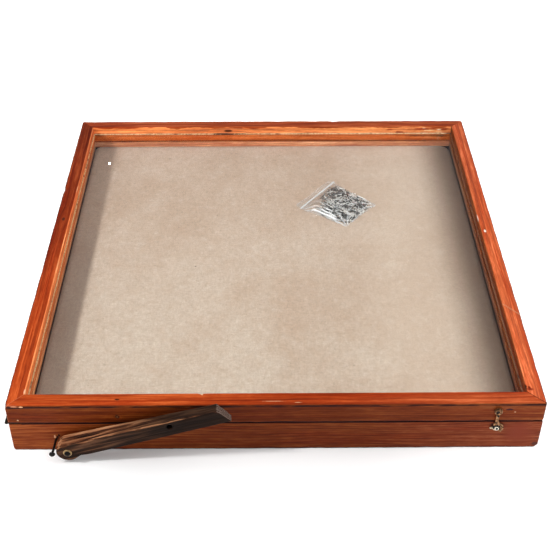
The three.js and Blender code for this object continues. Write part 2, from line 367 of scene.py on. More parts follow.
pine = {
    "ringWidth": 0.0027,
    "waveLength": 0.314,  # of a wave texture at a scale of 1
    "ring": [(0.0, grey(0.12)), (0.55, grey(0.3)), (0.86, grey(1)), (0.97, grey(0.8)), (1.0, grey(0.12))],
    "seedStep": 0.37,
    "wander": 0.006,
    "ragged": 0.004,
    "early": (0.62, 0.128, 0.034),
    "middle": (0.33, 0.046, 0.0095),
    "late": (0.115, 0.011, 0.004),
    "redder": (0.85, 0.55, 0.45),
    "strongest": 9.0,
    "darkening": (0.016, 0.006, 0.006),
}

# Where each shade fades in or out, mostly inwards from the outer face
faceBands = {
    "outer": (0.0016, 0.0003),
    "inner": (0.0176, 0.0187),
    "bead": (0.0118, 0.0122),
    "beadHeight": (0.0575, 0.0565),
    "arrisDown": (0.0018, 0.0007),
    "outerArris": (0.0016, 0.0006),
    "innerArris": (0.0176, 0.0184),
    "mitre": (0.0008, 0.0002),
    "skin": (0.0024, 0.0014),
}


def paintedLightRun(reach, run):
    # Colour factors at even steps along the strip, as a ramp can hold no more than one
    last = max(1, len(run) - 1)
    stops = [(index / last, tuple(value / pine["strongest"] for value in factor))
             for index, factor in enumerate(run)]
    return scaled(ramp(reach, stops), pine["strongest"])


def stainedPine(name, side, look, lines, marks=(), knots=()):
    material, place = startMaterial(name)
    turned = {"Rotation": (0, 0, -side["turns"] * math.pi / 2)}
    parts = put("SeparateXYZ", {0: put("Mapping", {"Vector": place, **turned}).outputs[0]}).outputs
    inward = sums("ADD", parts["Y"], side["face"])
    height = parts["Z"]

    # Lines bend round each knot
    bent = place
    for at, size, bend, paint in knots:
        pull = fade(vectors("LENGTH", within(place, at, bend)), 1.0, 0.0, 0.0, 0.85)
        bent = vectors("SUBTRACT", bent, scaled(vectors("SUBTRACT", place, metre(*at)), pull))
    bent = put("Mapping", {"Vector": bent, **turned}).outputs[0]
    bent = vectors("ADD", bent, (look["seed"] * pine["seedStep"], 0, 0))

    wander = put("TexNoise", {"Vector": vectors("MULTIPLY", bent, (5, 38, 38)), "Scale": 1.0,
                              "Detail": 2.0}).outputs["Color"]
    wander = scaled(vectors("SUBTRACT", wander, grey(0.5)), look.get("wander", pine["wander"]))
    heart = (0, look["heart"][0] - side["face"], look["heart"][1])
    centre = vectors("SUBTRACT", vectors("ADD", bent, wander), heart)
    rings = put("TexWave", {"Vector": centre, "Scale": pine["waveLength"] / pine["ringWidth"],
                            "Distortion": 0.0},
                wave_type="RINGS", rings_direction="X", wave_profile="SAW").outputs["Fac"]
    lateWood = ramp(rings, pine["ring"])
    fibres = cloud(bent, (14, 820, 820), 3, 0.6)
    pores = cloud(bent, (60, 430, 430), 3, 0.7)
    streaks = fade(cloud(bent, (2.2, 150, 150), 2), 0.5, 0.72)
    blotches = cloud(bent, (7, 32, 32), 3, 0.55)

    tone = weighted((lateWood, 0.26), (fibres, 0.85), (blotches, 0.55), (pores, 0.60), (streaks, 0.20))
    tone = sums("SUBTRACT", tone, 0.66, clamp=True)
    colour = ramp(tone, [(0.08, pine["early"]), (0.46, pine["middle"]), (0.92, pine["late"])])
    redness = fade(cloud(bent, (6, 230, 230), 2), 0.47, 0.68, 0.0, 0.75)
    colour = blend(redness, colour, pine["redder"], "MULTIPLY")

    # Each face has its own colour factor, which changes along the strip: painted light and shade, lighter
    # where a face is lit and darker where it is in shade, with some difference in the stain
    reach = fade(parts["X"], -side["half"], side["half"])
    inner = fade(inward, *faceBands["inner"])
    lightFactor = paintedLightRun(reach, look["top"])
    lightFactor = blend(fade(inward, *faceBands["outer"]), lightFactor, paintedLightRun(reach, look["outer"]))
    lightFactor = blend(inner, lightFactor, paintedLightRun(reach, look["inner"]))
    if "bead" in look:
        below = sums("MULTIPLY", fade(height, *faceBands["beadHeight"]), fade(inward, *faceBands["bead"]))
        lightFactor = blend(below, lightFactor, look["bead"])
    colour = blend(1.0, colour, lightFactor, "MULTIPLY")

    # The arrises, the open mitres, and the dark lines at the seams and edges: painted light and shade, with
    # wear on the arrises
    if "arris" in look:
        # Lighter arrises are painted highlights on rubbed wood, darker arrises painted shade
        ragged = sums("SUBTRACT", cloud(bent, grey(30), 3), 0.5)
        ragged = sums("MULTIPLY_ADD", ragged, look.get("ragged", pine["ragged"]), height)
        upper = fade(ragged, *(lidTop - down for down in faceBands["arrisDown"]))
        for factor, key in zip(look["arris"], ("outerArris", "innerArris")):
            edge = sums("MULTIPLY", upper, fade(inward, *faceBands[key]))
            colour = blend(edge, colour, factor, "MULTIPLY")
    # The open mitres are painted darker, as shade in the gaps; at two ends the paint is a dark red
    for way, (strength, shade) in zip((1, -1), look.get("mitre", ())):
        gap = sums("SUBTRACT", sums("MULTIPLY_ADD", parts["X"], way, side["half"]), inward)
        colour = blend(fade(gap, *faceBands["mitre"], 0.0, strength), colour, shade)
    skin = fade(inward, *faceBands["skin"])
    broken = fade(cloud(bent, (45, 420, 420), 3), 0.28, 0.56)
    # Dark lines along the face: painted shade at the seams and along the bottom edge
    for middle, spread, strength, isBroken in lines:
        away = sums("ABSOLUTE", sums("SUBTRACT", height, middle))
        line = sums("MULTIPLY", fade(away, spread, 0.35 * spread, 0.0, strength), skin)
        if isBroken:
            line = sums("MULTIPLY", line, broken)
        colour = blend(line, colour, pine["darkening"])
    # The inner face below the linen is painted dark: painted shade in the deep gap
    if "shadeTop" in look:
        low = sums("MULTIPLY", inner, fade(height, look["shadeTop"] + 0.0012, look["shadeTop"]))
        colour = blend(low, colour, pine["darkening"])

    for at, size, bend, paint in knots:
        shape = within(place, at, size)
        eye = put("TexWave", {"Vector": shape, "Scale": 0.9, "Distortion": 1.5, "Detail Scale": 3.0},
                  wave_type="RINGS", rings_direction="SPHERICAL").outputs["Fac"]
        dark = blend(eye, paint, tuple(2.2 * value for value in paint))
        colour = blend(fade(vectors("LENGTH", shape), 1.1, 0.6), colour, dark)
    for at, size, paint, *edge in marks:
        colour = blend(spot(place, at, size, *edge), colour, paint)

    gloss = sums("MULTIPLY_ADD", fibres, 0.22, 0.3)
    relief = sums("MULTIPLY_ADD", lateWood, 0.5, fibres)
    return finishMaterial(material, {"Base Color": colour, "Roughness": gloss, "Specular IOR Level": 0.05},
                          relief, 0.00016, 0.6)


# Walls and rails

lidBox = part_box("lid_rail_front")
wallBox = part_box("box_wall_front")
halfWide = lidBox[1].x
halfDeep = -lidBox[0].y
stock = lidBox[1].y - lidBox[0].y
lidTop = lidBox[1].z
lidBottom = lidBox[0].z
wallTop = wallBox[1].z

sides = {
    "front": {"turns": 0, "half": halfWide, "face": halfDeep},
    "right": {"turns": 1, "half": halfDeep, "face": halfWide},
    "back": {"turns": 2, "half": halfWide, "face": halfDeep},
    "left": {"turns": 3, "half": halfDeep, "face": halfWide},
}

timber = {
    "edge": 0.0008,
    "station": 0.004,
    "endStations": [0.0002, 0.0006, 0.0011, 0.0018, 0.0027, 0.004, 0.006],
    "planRadius": 0.0009,
    "bedWidth": 0.0143,
    "bedDepth": 0.0012,
    "bedStep": 0.0001,
    "closeGaps": (0.0001, 0.0001),
    "wobble": 0.00009,
    "wear": 0.00042,
    "wearWidth": 0.0022,
}

# Open line at each mitre, from the end at -X of the strip as it lies along the front
mitres = {
    "front": (0.00006, 0.0002),
    "right": (0.0002, 0.00004),
    "back": (0.00004, 0.00002),
    "left": (0.00002, 0.00006),
}

# Corners knocked off flat: a point that the flat passes, the way it faces, and its reach
flats = [
    (metre(-281, -311, 70.9), (-0.17, -0.55, 0.82), metre(24, 6, 8)),
    (metre(298.6, -311, 45.0), (0.66, -0.24, -0.71), metre(9, 9, 9)),
    (metre(296.2, -311, 1.2), (0.66, -0.25, -0.70), metre(12, 12, 12)),
    (metre(299.7, -310.7, 70.7), (0.60, -0.55, 0.58), metre(6, 6, 6)),
    (metre(298.4, 309.8, 69.9), (0.60, 0.55, 0.58), metre(9, 9, 9)),
    (metre(-298.8, 310.0, 70.2), (-0.60, 0.55, 0.58), metre(9, 9, 9)),
    (metre(-298.6, -310.2, 0.8), (-0.62, -0.45, -0.64), metre(8, 8, 8)),
]

# Small dents: middle, radius, and how far they are pushed in
dents = [
    (metre(259.6, -311, 61.6), 0.0034, metre(0, 0.8, 0)),
    (metre(-288.5, -311, 48.4), 0.0016, metre(0, 0.5, 0)),
    (metre(-177, -301, 71), 0.0022, metre(0, 0, -0.6)),
    (metre(-83, -292.4, 71), 0.0030, metre(0, -0.7, -0.5)),
    (metre(281, 44, 71), 0.006, metre(0.7, 0, -0.6)),
    (metre(286.2, 13.4, 71), 0.0026, metre(0, 0, -0.35)),
    (metre(-247, -311, 0), 0.0035, metre(0, 0.9, 0.8)),
    (metre(170, -311, 71), 0.006, metre(0, 0.6, -0.5)),
    (metre(236, -311, 43.8), 0.005, metre(0, 0.5, 0)),
    (metre(-300, 118, 71), 0.008, metre(0.7, 0, -0.6)),
    (metre(300, -140, 0), 0.008, metre(-0.7, 0, 0.8)),
    (metre(96, 311, 71), 0.007, metre(0, -0.8, -0.6)),
]

pegMark = {"at": metre(-177.1, -311, 53.3), "ring": 0.00275, "depth": 0.0006}


def wornPoint(point, top, bottom):
    moved = point.copy()
    # Round the upright corners in plan
    radius = timber["planRadius"] * (1.2 + 0.6 * noise.noise(point * 40))
    roundedIn(moved, halfWide, halfDeep, radius)
    # Rub down the long edges unevenly
    sideways = min(halfWide - abs(point.x), halfDeep - abs(point.y))
    upright = min(top - point.z, point.z - bottom)
    rubWidth = timber["wearWidth"]
    nearEdge = max(0.0, 1 - max(0.0, sideways) / rubWidth) * max(0.0, 1 - max(0.0, upright) / rubWidth)
    patchy = max(0.0, 0.35 + noise.noise(point * 55) + 0.6 * noise.noise(point * 170))
    rub = timber["wear"] * nearEdge * patchy
    inwards = -rub if halfWide - abs(point.x) < halfDeep - abs(point.y) else 0.0
    moved.x += math.copysign(1, point.x) * inwards
    moved.y -= math.copysign(1, point.y) * (rub if inwards == 0.0 else 0.0)
    moved.z += rub * (1 if point.z - bottom < top - point.z else -1)
    wobble = noise.noise_vector(point * 14) + 0.5 * noise.noise_vector(point * 60)
    keepFlat = 0.25 if upright < 0.003 and point.z - bottom < 0.003 else 1.0
    moved += Vector((wobble.x, wobble.y, wobble.z * keepFlat)) * timber["wobble"]
    for at, size, push in dents:
        distance = (point - Vector(at)).length / size
        if distance < 1.6:
            moved += Vector(push) * math.exp(-2.2 * distance * distance)
    for at, facing, reach in flats:
        away = moved - Vector(at)
        facing = Vector(facing).normalized()
        over = away.dot(facing)
        mine = bottom < at[2] < top
        if mine and over > 0 and all(abs(value) < limit for value, limit in zip(away, reach)):
            moved -= facing * over * 0.92
    return moved


def dimple(point):
    # The mark of a peg: a pressed ring with a raised middle
    away = point - Vector(pegMark["at"])
    if abs(away.y) > 0.002 or away.length > 0.008:
        return point
    ring = math.hypot(away.x, away.z) / pegMark["ring"]
    sunk = math.exp(-((ring - 0.95) / 0.42) ** 2) * pegMark["depth"]
    return point + Vector((0, sunk, 0))


def stripShape(section, side, gaps, pitch, extraStations=()):
    half, face = side["half"], side["face"]
    bm = bmesh.new()
    corners = [bm.verts.new((0, inward - face, height)) for inward, height, radius in section]
    bm.faces.new(corners)
    for corner, (inward, height, radius) in zip(corners, section):
        if radius:
            bmesh.ops.bevel(bm, geom=[corner], offset=radius, offset_type="OFFSET", segments=3,
                            profile=0.5, affect="VERTICES", material=-1, clamp_overlap=True)
    for edge in list(bm.edges):
        cuts = int(edge.calc_length() / pitch)
        if cuts:
            bmesh.ops.subdivide_edges(bm, edges=[edge], cuts=cuts)
    count = round(2 * half / timber["station"])
    stations = {-half + 2 * half * index / count for index in range(count + 1)}
    for step in timber["endStations"]:
        stations |= {step - half, half - step}
    stations = sorted(stations | set(extraStations))
    bmesh.ops.translate(bm, verts=bm.verts, vec=(stations[0], 0, 0))
    bm.faces.ensure_lookup_table()
    end = bm.faces[0]
    for before, after in zip(stations, stations[1:]):
        grown = bmesh.ops.extrude_face_region(bm, geom=[end])["geom"]
        if before > stations[0]:
            bmesh.ops.delete(bm, geom=[end], context="FACES_ONLY")
        end = next(item for item in grown if isinstance(item, bmesh.types.BMFace))
        bmesh.ops.translate(bm, verts=list(end.verts), vec=(after - before, 0, 0))
    for way, gap in zip((-1, 1), gaps):
        at = Vector((way * (half - gap), -face, 0))
        every = bm.verts[:] + bm.edges[:] + bm.faces[:]
        cut = bmesh.ops.bisect_plane(bm, geom=every, plane_co=at, plane_no=(way, 1, 0), clear_outer=True)
        rim = [item for item in cut["geom_cut"] if isinstance(item, bmesh.types.BMEdge)]
        bmesh.ops.contextual_create(bm, geom=rim)
    bmesh.ops.recalc_face_normals(bm, faces=bm.faces)
    bmesh.ops.rotate(bm, verts=bm.verts, matrix=Matrix.Rotation(side["turns"] * math.pi / 2, 3, "Z"))
    return bm


def bedStations(name):
    # Stations close on either side of where the hinge's bed ends
    ends = {"front": timber["bedWidth"] - halfWide, "back": halfWide - timber["bedWidth"]}
    return [ends[name] + way * timber["bedStep"] for way in (-1, 1)] if name in ends else []


def addWalls():
    edge, bed, step = timber["edge"], timber["bedWidth"], 2 * timber["bedStep"]
    section = [(0, 0, edge), (stock, 0, 0.0004), (stock, wallTop, 0.0005), (bed + step, wallTop, 0),
               (bed - step, wallTop, 0), (0, wallTop, edge)]
    for name, side in sides.items():
        bm = stripShape(section, side, mitres[name], 0.004, bedStations(name))
        for vert in bm.verts:
            vert.co = wornPoint(vert.co, wallTop, 0)
            vert.co.z = max(vert.co.z, 0.0)
            if vert.co.x < bed - halfWide:
                vert.co.z = min(vert.co.z, wallTop - timber["bedDepth"])
        addPiece(name + "Wall", bm, "box", woods[name + "Wall"], ["box_wall_" + name])


def addRails():
    edge, bed = timber["edge"], timber["bedWidth"]
    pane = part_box("glass_pane")
    lip = pane[1].z + 0.0003
    rebate = pane[0].x + halfWide - 0.0003
    section = [(0, lidBottom, edge), (bed - 0.0030, lidBottom, 0), (rebate, lidBottom, 0.0003),
               (rebate, lip, 0), (stock, lip, 0.0004), (stock, lidTop, 0.0009), (0, lidTop, edge)]
    pegStations = [pegMark["at"][0] + step * 0.0007 for step in range(-9, 10)]
    for name, side in sides.items():
        front = name == "front"
        stations = bedStations(name) + (pegStations if front else [])
        bm = stripShape(section, side, mitres[name], 0.0012 if front else 0.004, stations)
        for vert in bm.verts:
            vert.co = dimple(wornPoint(vert.co, lidTop, lidBottom))
            if vert.co.x < bed - halfWide and vert.co.z < lidBottom + timber["bedDepth"]:
                vert.co.z = lidBottom + timber["bedDepth"]
        addPiece(name + "Rail", bm, "lid", woods[name + "Rail"], ["lid_rail_" + name])


def addBeads():
    low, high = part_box("glass_bead_front")
    outer, inner = low.y + halfDeep, high.y + halfDeep
    section = [(outer, low.z, 0.0003), (inner, low.z, 0.0012),
               (inner, high.z, 0.0004), (outer, high.z, 0.0003)]
    for name, side in sides.items():
        bm = stripShape(section, side, timber["closeGaps"], 0.006)
        for vert in bm.verts:
            vert.co += noise.noise_vector(vert.co * 25) * 0.0001
        addPiece(name + "Bead", bm, "lid", woods[name + "Rail"], ["glass_bead_" + name])


knotBrown = (0.060, 0.014, 0.006)
paleWood = (0.62, 0.40, 0.22)
filler = (0.78, 0.70, 0.60)

# Dark lines: height, spread, strength, and whether the line comes and goes. Along the seams and the bottom
# edge they are painted shade; the line under the top arris only darkens the face
railLines = [
    (lidTop - 0.0021, 0.0021, 0.92, True),
    (lidBottom, 0.0011, 1.0, False),
    (lidBottom + 0.0012, 0.0012, 0.6, True),
]
wallLines = [(wallTop, 0.0016, 1.0, False), (0.0, 0.0013, 0.95, False), (0.0012, 0.0014, 0.5, True)]
# Painted shade for the open mitres
mitreShade = (0.03, 0.010, 0.006)

# The face factors (top, outer, inner, bead) are painted light and shade along each strip
railLooks = {
    "front": {
        "seed": 1, "heart": (0.040, -0.060),
        "top": [(1.25, 1.36, 1.2), (0.95, 0.83, 0.66), (0.95, 0.81, 0.66), (1.22, 1.48, 1.9)],
        "outer": [(0.55, 0.74, 0.55), (0.355, 0.43, 0.305), (0.365, 0.455, 0.365), (0.60, 0.85, 0.86)],
        "inner": [(1.2, 1.5, 1.6)],
        "bead": (1.0, 1.2, 1.3),
        "mitre": [(0.55, (0.62, 0.20, 0.09)), (1.0, mitreShade)],
    },
    "right": {
        "seed": 2, "heart": (0.050, -0.055),
        "top": [(1.84, 2.75, 4.3), (1.54, 2.12, 3.1), (1.46, 2.05, 3.4)],
        "outer": [(0.7, 0.9, 1.0)],
        "inner": [(0.55, 0.72, 0.8), (0.42, 0.6, 0.6)],
        "bead": (0.30, 0.42, 0.5),
        "mitre": [(1.0, mitreShade), (0.3, mitreShade)],
        "arris": [(0.7, 0.6, 0.6), (1.1, 1.2, 1.2)],
    },
    "back": {
        "seed": 3, "heart": (0.034, -0.075),
        "top": [(0.95, 1.2, 1.7)],
        "outer": [(0.6, 0.8, 0.9)],
        "inner": [(2.8, 6.5, 9.7), (2.75, 5.9, 8.2), (2.75, 5.4, 7.0)],
        "bead": (1.35, 2.0, 2.2),
        "mitre": [(0.25, mitreShade), (0.2, mitreShade)],
        "arris": [(0.45, 0.38, 0.35), (0.42, 0.22, 0.15)],
        "ragged": 0.011,
    },
    "left": {
        "seed": 4, "heart": (0.046, -0.060),
        "top": [(0.56, 0.54, 0.54), (0.70, 0.58, 0.54), (1.30, 1.30, 1.15)],
        "outer": [(0.6, 0.8, 0.9)],
        "inner": [(2.0, 3.0, 3.4), (2.2, 3.6, 4.0)],
        "bead": (1.6, 2.8, 3.6),
        "mitre": [(0.2, mitreShade), (0.3, (0.62, 0.20, 0.09))],
        "arris": [(0.40, 0.28, 0.25), (1.35, 1.9, 2.6)],
    },
}

# The walls' face factors are painted light and shade too
plainWall = {
    "top": [(0.6, 0.7, 0.7)],
    "outer": [(0.6, 0.8, 0.9)],
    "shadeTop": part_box("linen_lining")[1].z,
}
wallLooks = {
    "front": {
        **plainWall, "seed": 11, "heart": (0.060, -0.020), "wander": 0.011,
        "outer": [(0.66, 0.88, 0.80), (0.44, 0.59, 0.49), (0.415, 0.55, 0.45), (0.43, 0.58, 0.54),
                  (0.61, 0.87, 1.4)],
        "inner": [(0.8, 1.1, 1.2)],
    },
    "right": {
        **plainWall, "seed": 12, "heart": (0.070, 0.010),
        "outer": [(0.7, 0.9, 1.0)],
        "inner": [(0.40, 0.9, 1.8), (0.6, 1.9, 4.4)],
    },
    "back": {
        **plainWall, "seed": 13, "heart": (0.060, -0.030), "shadeTop": plainWall["shadeTop"] - 0.0015,
        "inner": [(1.7, 4.6, 9.6)],
    },
    "left": {
        **plainWall, "seed": 14, "heart": (0.065, 0.005),
        "inner": [(1.3, 4.0, 7.5), (1.5, 3.6, 6.0)],
    },
}

# Knots, in millimetres: middle, half sizes, how far the grain bends round, and the colour
railKnots = {
    "left": [((-289.6, 45.5, 70.5), (2.3, 4.4, 4), (12, 38, 14), (0.045, 0.010, 0.005))],
    "back": [((-69.7, 292, 64.6), (7.5, 4, 2.6), (46, 12, 9), knotBrown)],
    "right": [((284.8, -286.5, 70.5), (1.8, 3.6, 4), (10, 30, 12), (0.09, 0.010, 0.004))],
}

# Marks, in millimetres: middle, half sizes, colour, and where they differ the core and raggedness
scratch = {"from": (282.5, -140.6, 71), "to": (299.5, -160.8, 71), "dots": 12, "shade": (1.5, -1.9, 0)}
scratchMarks = []
for dot in range(scratch["dots"]):
    middle = Vector(scratch["from"]).lerp(Vector(scratch["to"]), dot / (scratch["dots"] - 1))
    scratchMarks += [(middle + Vector(scratch["shade"]), (1.5, 1.5, 2), (0.14, 0.022, 0.010), 0.1),
                     (middle, (1.5, 1.5, 2), (0.60, 0.27, 0.14), 0.1)]

railMarks = {
    "front": [
        ((-177.1, -311, 53.3), (3.3, 1.5, 3.3), (0.045, 0.014, 0.006), 0.7),
        ((-177.1, -311, 53.3), (1.7, 1.5, 1.7), (0.16, 0.055, 0.022), 0.5),
        ((-176.9, -301, 71), (3.4, 1.5, 2), knotBrown),
        ((-82.9, -292.4, 70.6), (1.7, 3.2, 2), paleWood),
        ((-3, -305, 71), (17, 0.5, 2), paleWood, 0.2),
        ((24, -307, 71), (6, 0.6, 2), paleWood, 0.2),
        ((259.6, -311, 61.6), (5.0, 2, 1.6), (0.03, 0.012, 0.02)),
        ((266, -311, 57.9), (1.4, 2, 1.2), (0.42, 0.20, 0.10)),
        ((-288.5, -311, 48.4), (1.3, 2, 1.0), paleWood),
        ((-289, -311, 67.8), (11, 2.5, 0.9), (0.03, 0.01, 0.008)),
        ((-282, -310.6, 69.6), (2.6, 2, 1.1), (0.80, 0.42, 0.22)),
        ((-291, -310.8, 69.6), (9, 2, 0.9), (0.60, 0.22, 0.11), 0.3),
    ],
    "right": [
        ((286.2, 13.4, 71), (1.7, 3.4, 2), filler, 0.8),
        ((281.3, 44, 70.2), (1.6, 10, 2), (0.66, 0.50, 0.42), 0.2),
        ((281.2, -284.5, 70.0), (2.4, 5.5, 3), (0.035, 0.008, 0.004), 0.2, 420),
        ((285.5, -288.5, 71), (5.5, 2.6, 3), (0.20, 0.020, 0.008), 0.1, 300),
        *scratchMarks,
    ],
    "back": [
        ((186, 292, 66.0), (11, 2, 1.6), (0.34, 0.040, 0.012), 0.2, 160),
        ((200, 292, 61.0), (9, 2, 2.6), (0.30, 0.035, 0.010), 0.2, 160),
        ((236, 292, 67.0), (34, 2, 2.6), (0.36, 0.045, 0.014), 0.2, 120),
        ((228, 292.5, 53.2), (26, 6, 2.2), (0.12, 0.022, 0.009), 0.2, 160),
        ((264, 292.5, 53.0), (22, 6, 3.2), (0.05, 0.011, 0.005), 0.2, 160),
        ((270, 292, 66.5), (14, 2, 3.2), (0.32, 0.045, 0.014), 0.2, 120),
        # The four pale spots that follow are painted highlights on the inner face
        ((246, 292, 64.0), (12, 2, 1.8), (0.90, 0.60, 0.30), 0.1, 420),
        ((262, 292, 65.5), (5, 2, 1.6), (0.95, 0.80, 0.55), 0.1, 520),
        ((262, 292, 61.5), (9, 2, 1.2), (0.88, 0.62, 0.32), 0.1, 520),
        ((238, 292, 68.6), (4, 2, 1.0), (0.85, 0.60, 0.34), 0.2, 500),
    ],
    "left": [
        # Bright marks along the inner arris: painted highlight on rubbed wood
        ((-281.3, 120, 70.4), (0.9, 14, 1.2), (0.80, 0.42, 0.22), 0.1),
        ((-281.3, -60, 70.4), (0.8, 20, 1.2), (0.72, 0.34, 0.16), 0.1),
        ((-281.5, -288, 70.6), (1.6, 5, 2), (0.85, 0.45, 0.25), 0.4),
    ],
}

wallKnots = {
    "front": [((296, -311, 6.0), (4.2, 3, 3.4), (16, 8, 9), (0.05, 0.015, 0.010))],
}

wallMarks = {
    "front": [
        # Painted shadow of the bent nail on the wall
        ((-249.0, -311, 18.6), (1.9, 2, 2.6), (0.006, 0.003, 0.002), 0.5),
        ((-247.4, -311, 21.4), (1.8, 2, 2.6), (0.006, 0.003, 0.002), 0.5),
        ((-245.6, -311, 24.2), (1.6, 2, 2.6), (0.006, 0.003, 0.002), 0.5),
        # Painted shade round the catch, between the post and the hook
        ((247.5, -311, 37.0), (9.5, 2, 6.5), (0.012, 0.005, 0.004), 0.3),
        ((-250.5, -311, 22), (1.6, 2, 3.4), (0.80, 0.42, 0.22), 0.3),
        ((276, -311, 24), (26, 3, 26), (0.20, 0.036, 0.016), 0.2, 40),
        ((299, -311, 20), (5, 3, 0.6), (0.06, 0.014, 0.008)),
        ((298, -311, 15), (6, 3, 0.6), (0.06, 0.014, 0.008)),
        ((299, -311, 26), (4, 3, 0.5), (0.06, 0.014, 0.008)),
    ],
}

woods = {}
pineParts = [
    ("Rail", railLooks, railLines, railMarks, railKnots),
    ("Wall", wallLooks, wallLines, wallMarks, wallKnots),
]
for side, shape in sides.items():
    for part, looks, lines, marks, knots in pineParts:
        woods[side + part] = stainedPine(side + part + "Pine", shape, looks[side], lines,
                                         marks.get(side, ()), knots.get(side, ()))
addWalls()
addRails()
addBeads()
print("walls, rails and beads built")


# Glass and putty

def clearGlass():
    material = startMaterial("clearGlass")[0]
    return finishMaterial(material, {"Base Color": (0.97, 0.985, 0.975), "Roughness": 0.0, "IOR": 1.5,
                                     "Transmission Weight": 1.0})


putty = {
    "front": (1, 1, 1),
    "right": (0.30, 0.17, 0.12),
    "back": (1.0, 0.95, 0.85),
    "left": (0.95, 0.80, 0.62),
    "pitch": 0.0008,
    "edge": 0.0003,
    "lumpOut": 0.0006,
    "lumpUp": 0.0007,
}


def oldPutty(name):
    material, place = startMaterial(name + "OldPutty")
    lumps = cloud(place, grey(300), 4, 0.6)
    colour = ramp(lumps, [(0.3, (0.20, 0.11, 0.055)), (0.5, (0.55, 0.34, 0.19)), (0.75, (0.78, 0.60, 0.40))])
    darkening = fade(cloud(place, grey(75), 3), 0.55, 0.72)
    colour = blend(darkening, colour, (0.12, 0.05, 0.02))
    colour = blend(1.0, colour, putty[name], "MULTIPLY")
    if name == "back":
        colour = blend(spot(place, (-72, 291, 60), (24, 4, 4), 0.4, 300), colour, (0.035, 0.014, 0.006))
    return finishMaterial(material, {"Base Color": colour, "Roughness": 0.8}, lumps, 0.0004)


def addGlazing():
    low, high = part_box("glass_pane")
    bm = bmesh.new()
    cuboid(bm, low, high)
    bevelAll(bm, 0.0005)
    pane = addPiece("pane", bm, "lid", clearGlass(), ["glass_pane"], 10)
    pane.visible_shadow = False

    low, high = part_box("putty_line_front")
    start = stock + 0.0001
    width = high.y - low.y
    edge = putty["edge"]
    section = [(start, low.z, 0), (start + width, low.z, edge), (start, low.z + width, edge)]
    for name, side in sides.items():
        bm = stripShape(section, side, timber["closeGaps"], putty["pitch"])
        for vert in bm.verts:
            lump = noise.noise(vert.co * 160) * 0.5 + noise.noise(vert.co * 45)
            inward = Vector((-vert.co.x, 0, 0)) if side["turns"] % 2 else Vector((0, -vert.co.y, 0))
            share = (vert.co.z - low.z) / width
            vert.co += inward.normalized() * lump * putty["lumpOut"] * (1 - share)
            vert.co.z += lump * putty["lumpUp"] * share
        addPiece(name + "Putty", bm, "lid", oldPutty(name), ["putty_line_" + name])


addGlazing()
print("glazing built")


# Linen, pinning board and base

linen = {
    "turnDown": 0.015,
    "corner": 0.010,
    "backRightCorner": 0.018,
    "thread": 0.00055,
    "front": (0.427, 0.345, 0.277),
    "back": (0.424, 0.318, 0.248),
    "stain": (0.325, 0.214, 0.145),
}


def linenCloth():
    material, place = startMaterial("linenCloth")
    parts = put("SeparateXYZ", {0: place}).outputs
    threads = []
    for across, lengthwise in (("X", (700, 28, 700)), ("Y", (28, 700, 700))):
        phase = sums("MULTIPLY", parts[across], math.tau / linen["thread"])
        threads.append(sums("SINE", sums("MULTIPLY_ADD", cloud(place, lengthwise, 2), 2.5, phase)))
    weave = sums("MAXIMUM", *threads)
    fleck = sums("ADD", cloud(place, (150, 620, 300), 3, 0.7), cloud(place, (620, 150, 300), 3, 0.7))
    age = cloud(place, (7, 5, 5), 4, 0.6)
    mottle = cloud(place, (34, 26, 30), 4, 0.62)
    patches = cloud(place, (130, 95, 110), 4, 0.7)
    soiled = cloud(place, grey(190), 2)

    colour = blend(fade(parts["Y"], -0.29, 0.29), linen["front"], linen["back"])
    for value, start, end, strength, paint in (
            (age, 0.40, 0.68, 0.45, linen["stain"]),
            (mottle, 0.42, 0.80, 0.30, linen["stain"]),
            (mottle, 0.45, 0.2, 0.35, (0.50, 0.42, 0.35)),
            (patches, 0.50, 0.72, 0.22, linen["stain"]),
            (patches, 0.48, 0.30, 0.22, (0.535, 0.455, 0.385)),
            (soiled, 0.70, 0.76, 0.35, (0.16, 0.11, 0.075))):
        colour = blend(fade(value, start, end, 0.0, strength), colour, paint)
    colour = blend(spot(place, (-106.2, -17.4, 35), (1.6, 1.3, 3)), colour, (0.10, 0.075, 0.055))
    shade = weighted((fleck, 0.50), (cloud(place, grey(330), 3, 0.7), 0.42), (weave, 0.05), start=0.30)
    colour = blend(1.0, colour, put("CombineColor", {0: shade, 1: shade, 2: shade}).outputs[0], "MULTIPLY")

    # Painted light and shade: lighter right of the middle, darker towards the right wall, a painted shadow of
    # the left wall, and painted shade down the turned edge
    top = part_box("linen_lining")[1].z
    behind = fade(parts["Y"], 0.12, 0.0, 0.5, 1.0)
    leftWallShadow = sums("MULTIPLY", fade(parts["X"], -0.242, -0.251, 0.0, 0.45), behind)
    for strength, paint in (
            (fade(parts["X"], 0.08, 0.18, 0.0, 0.30), (0.57, 0.46, 0.37)),
            (fade(parts["X"], 0.214, 0.276, 0.0, 0.78), (0.096, 0.047, 0.025)),
            (leftWallShadow, (0.16, 0.10, 0.075)),
            (fade(parts["Z"], top - 0.0005, top - 0.0022), (0.055, 0.026, 0.016))):
        colour = blend(strength, colour, paint)
    return finishMaterial(material, {"Base Color": colour, "Roughness": 0.95, "Specular IOR Level": 0.15,
                                     "Sheen Weight": 0.1},
                          sums("MULTIPLY_ADD", fleck, 1.5, weave), 0.00006, 0.8)


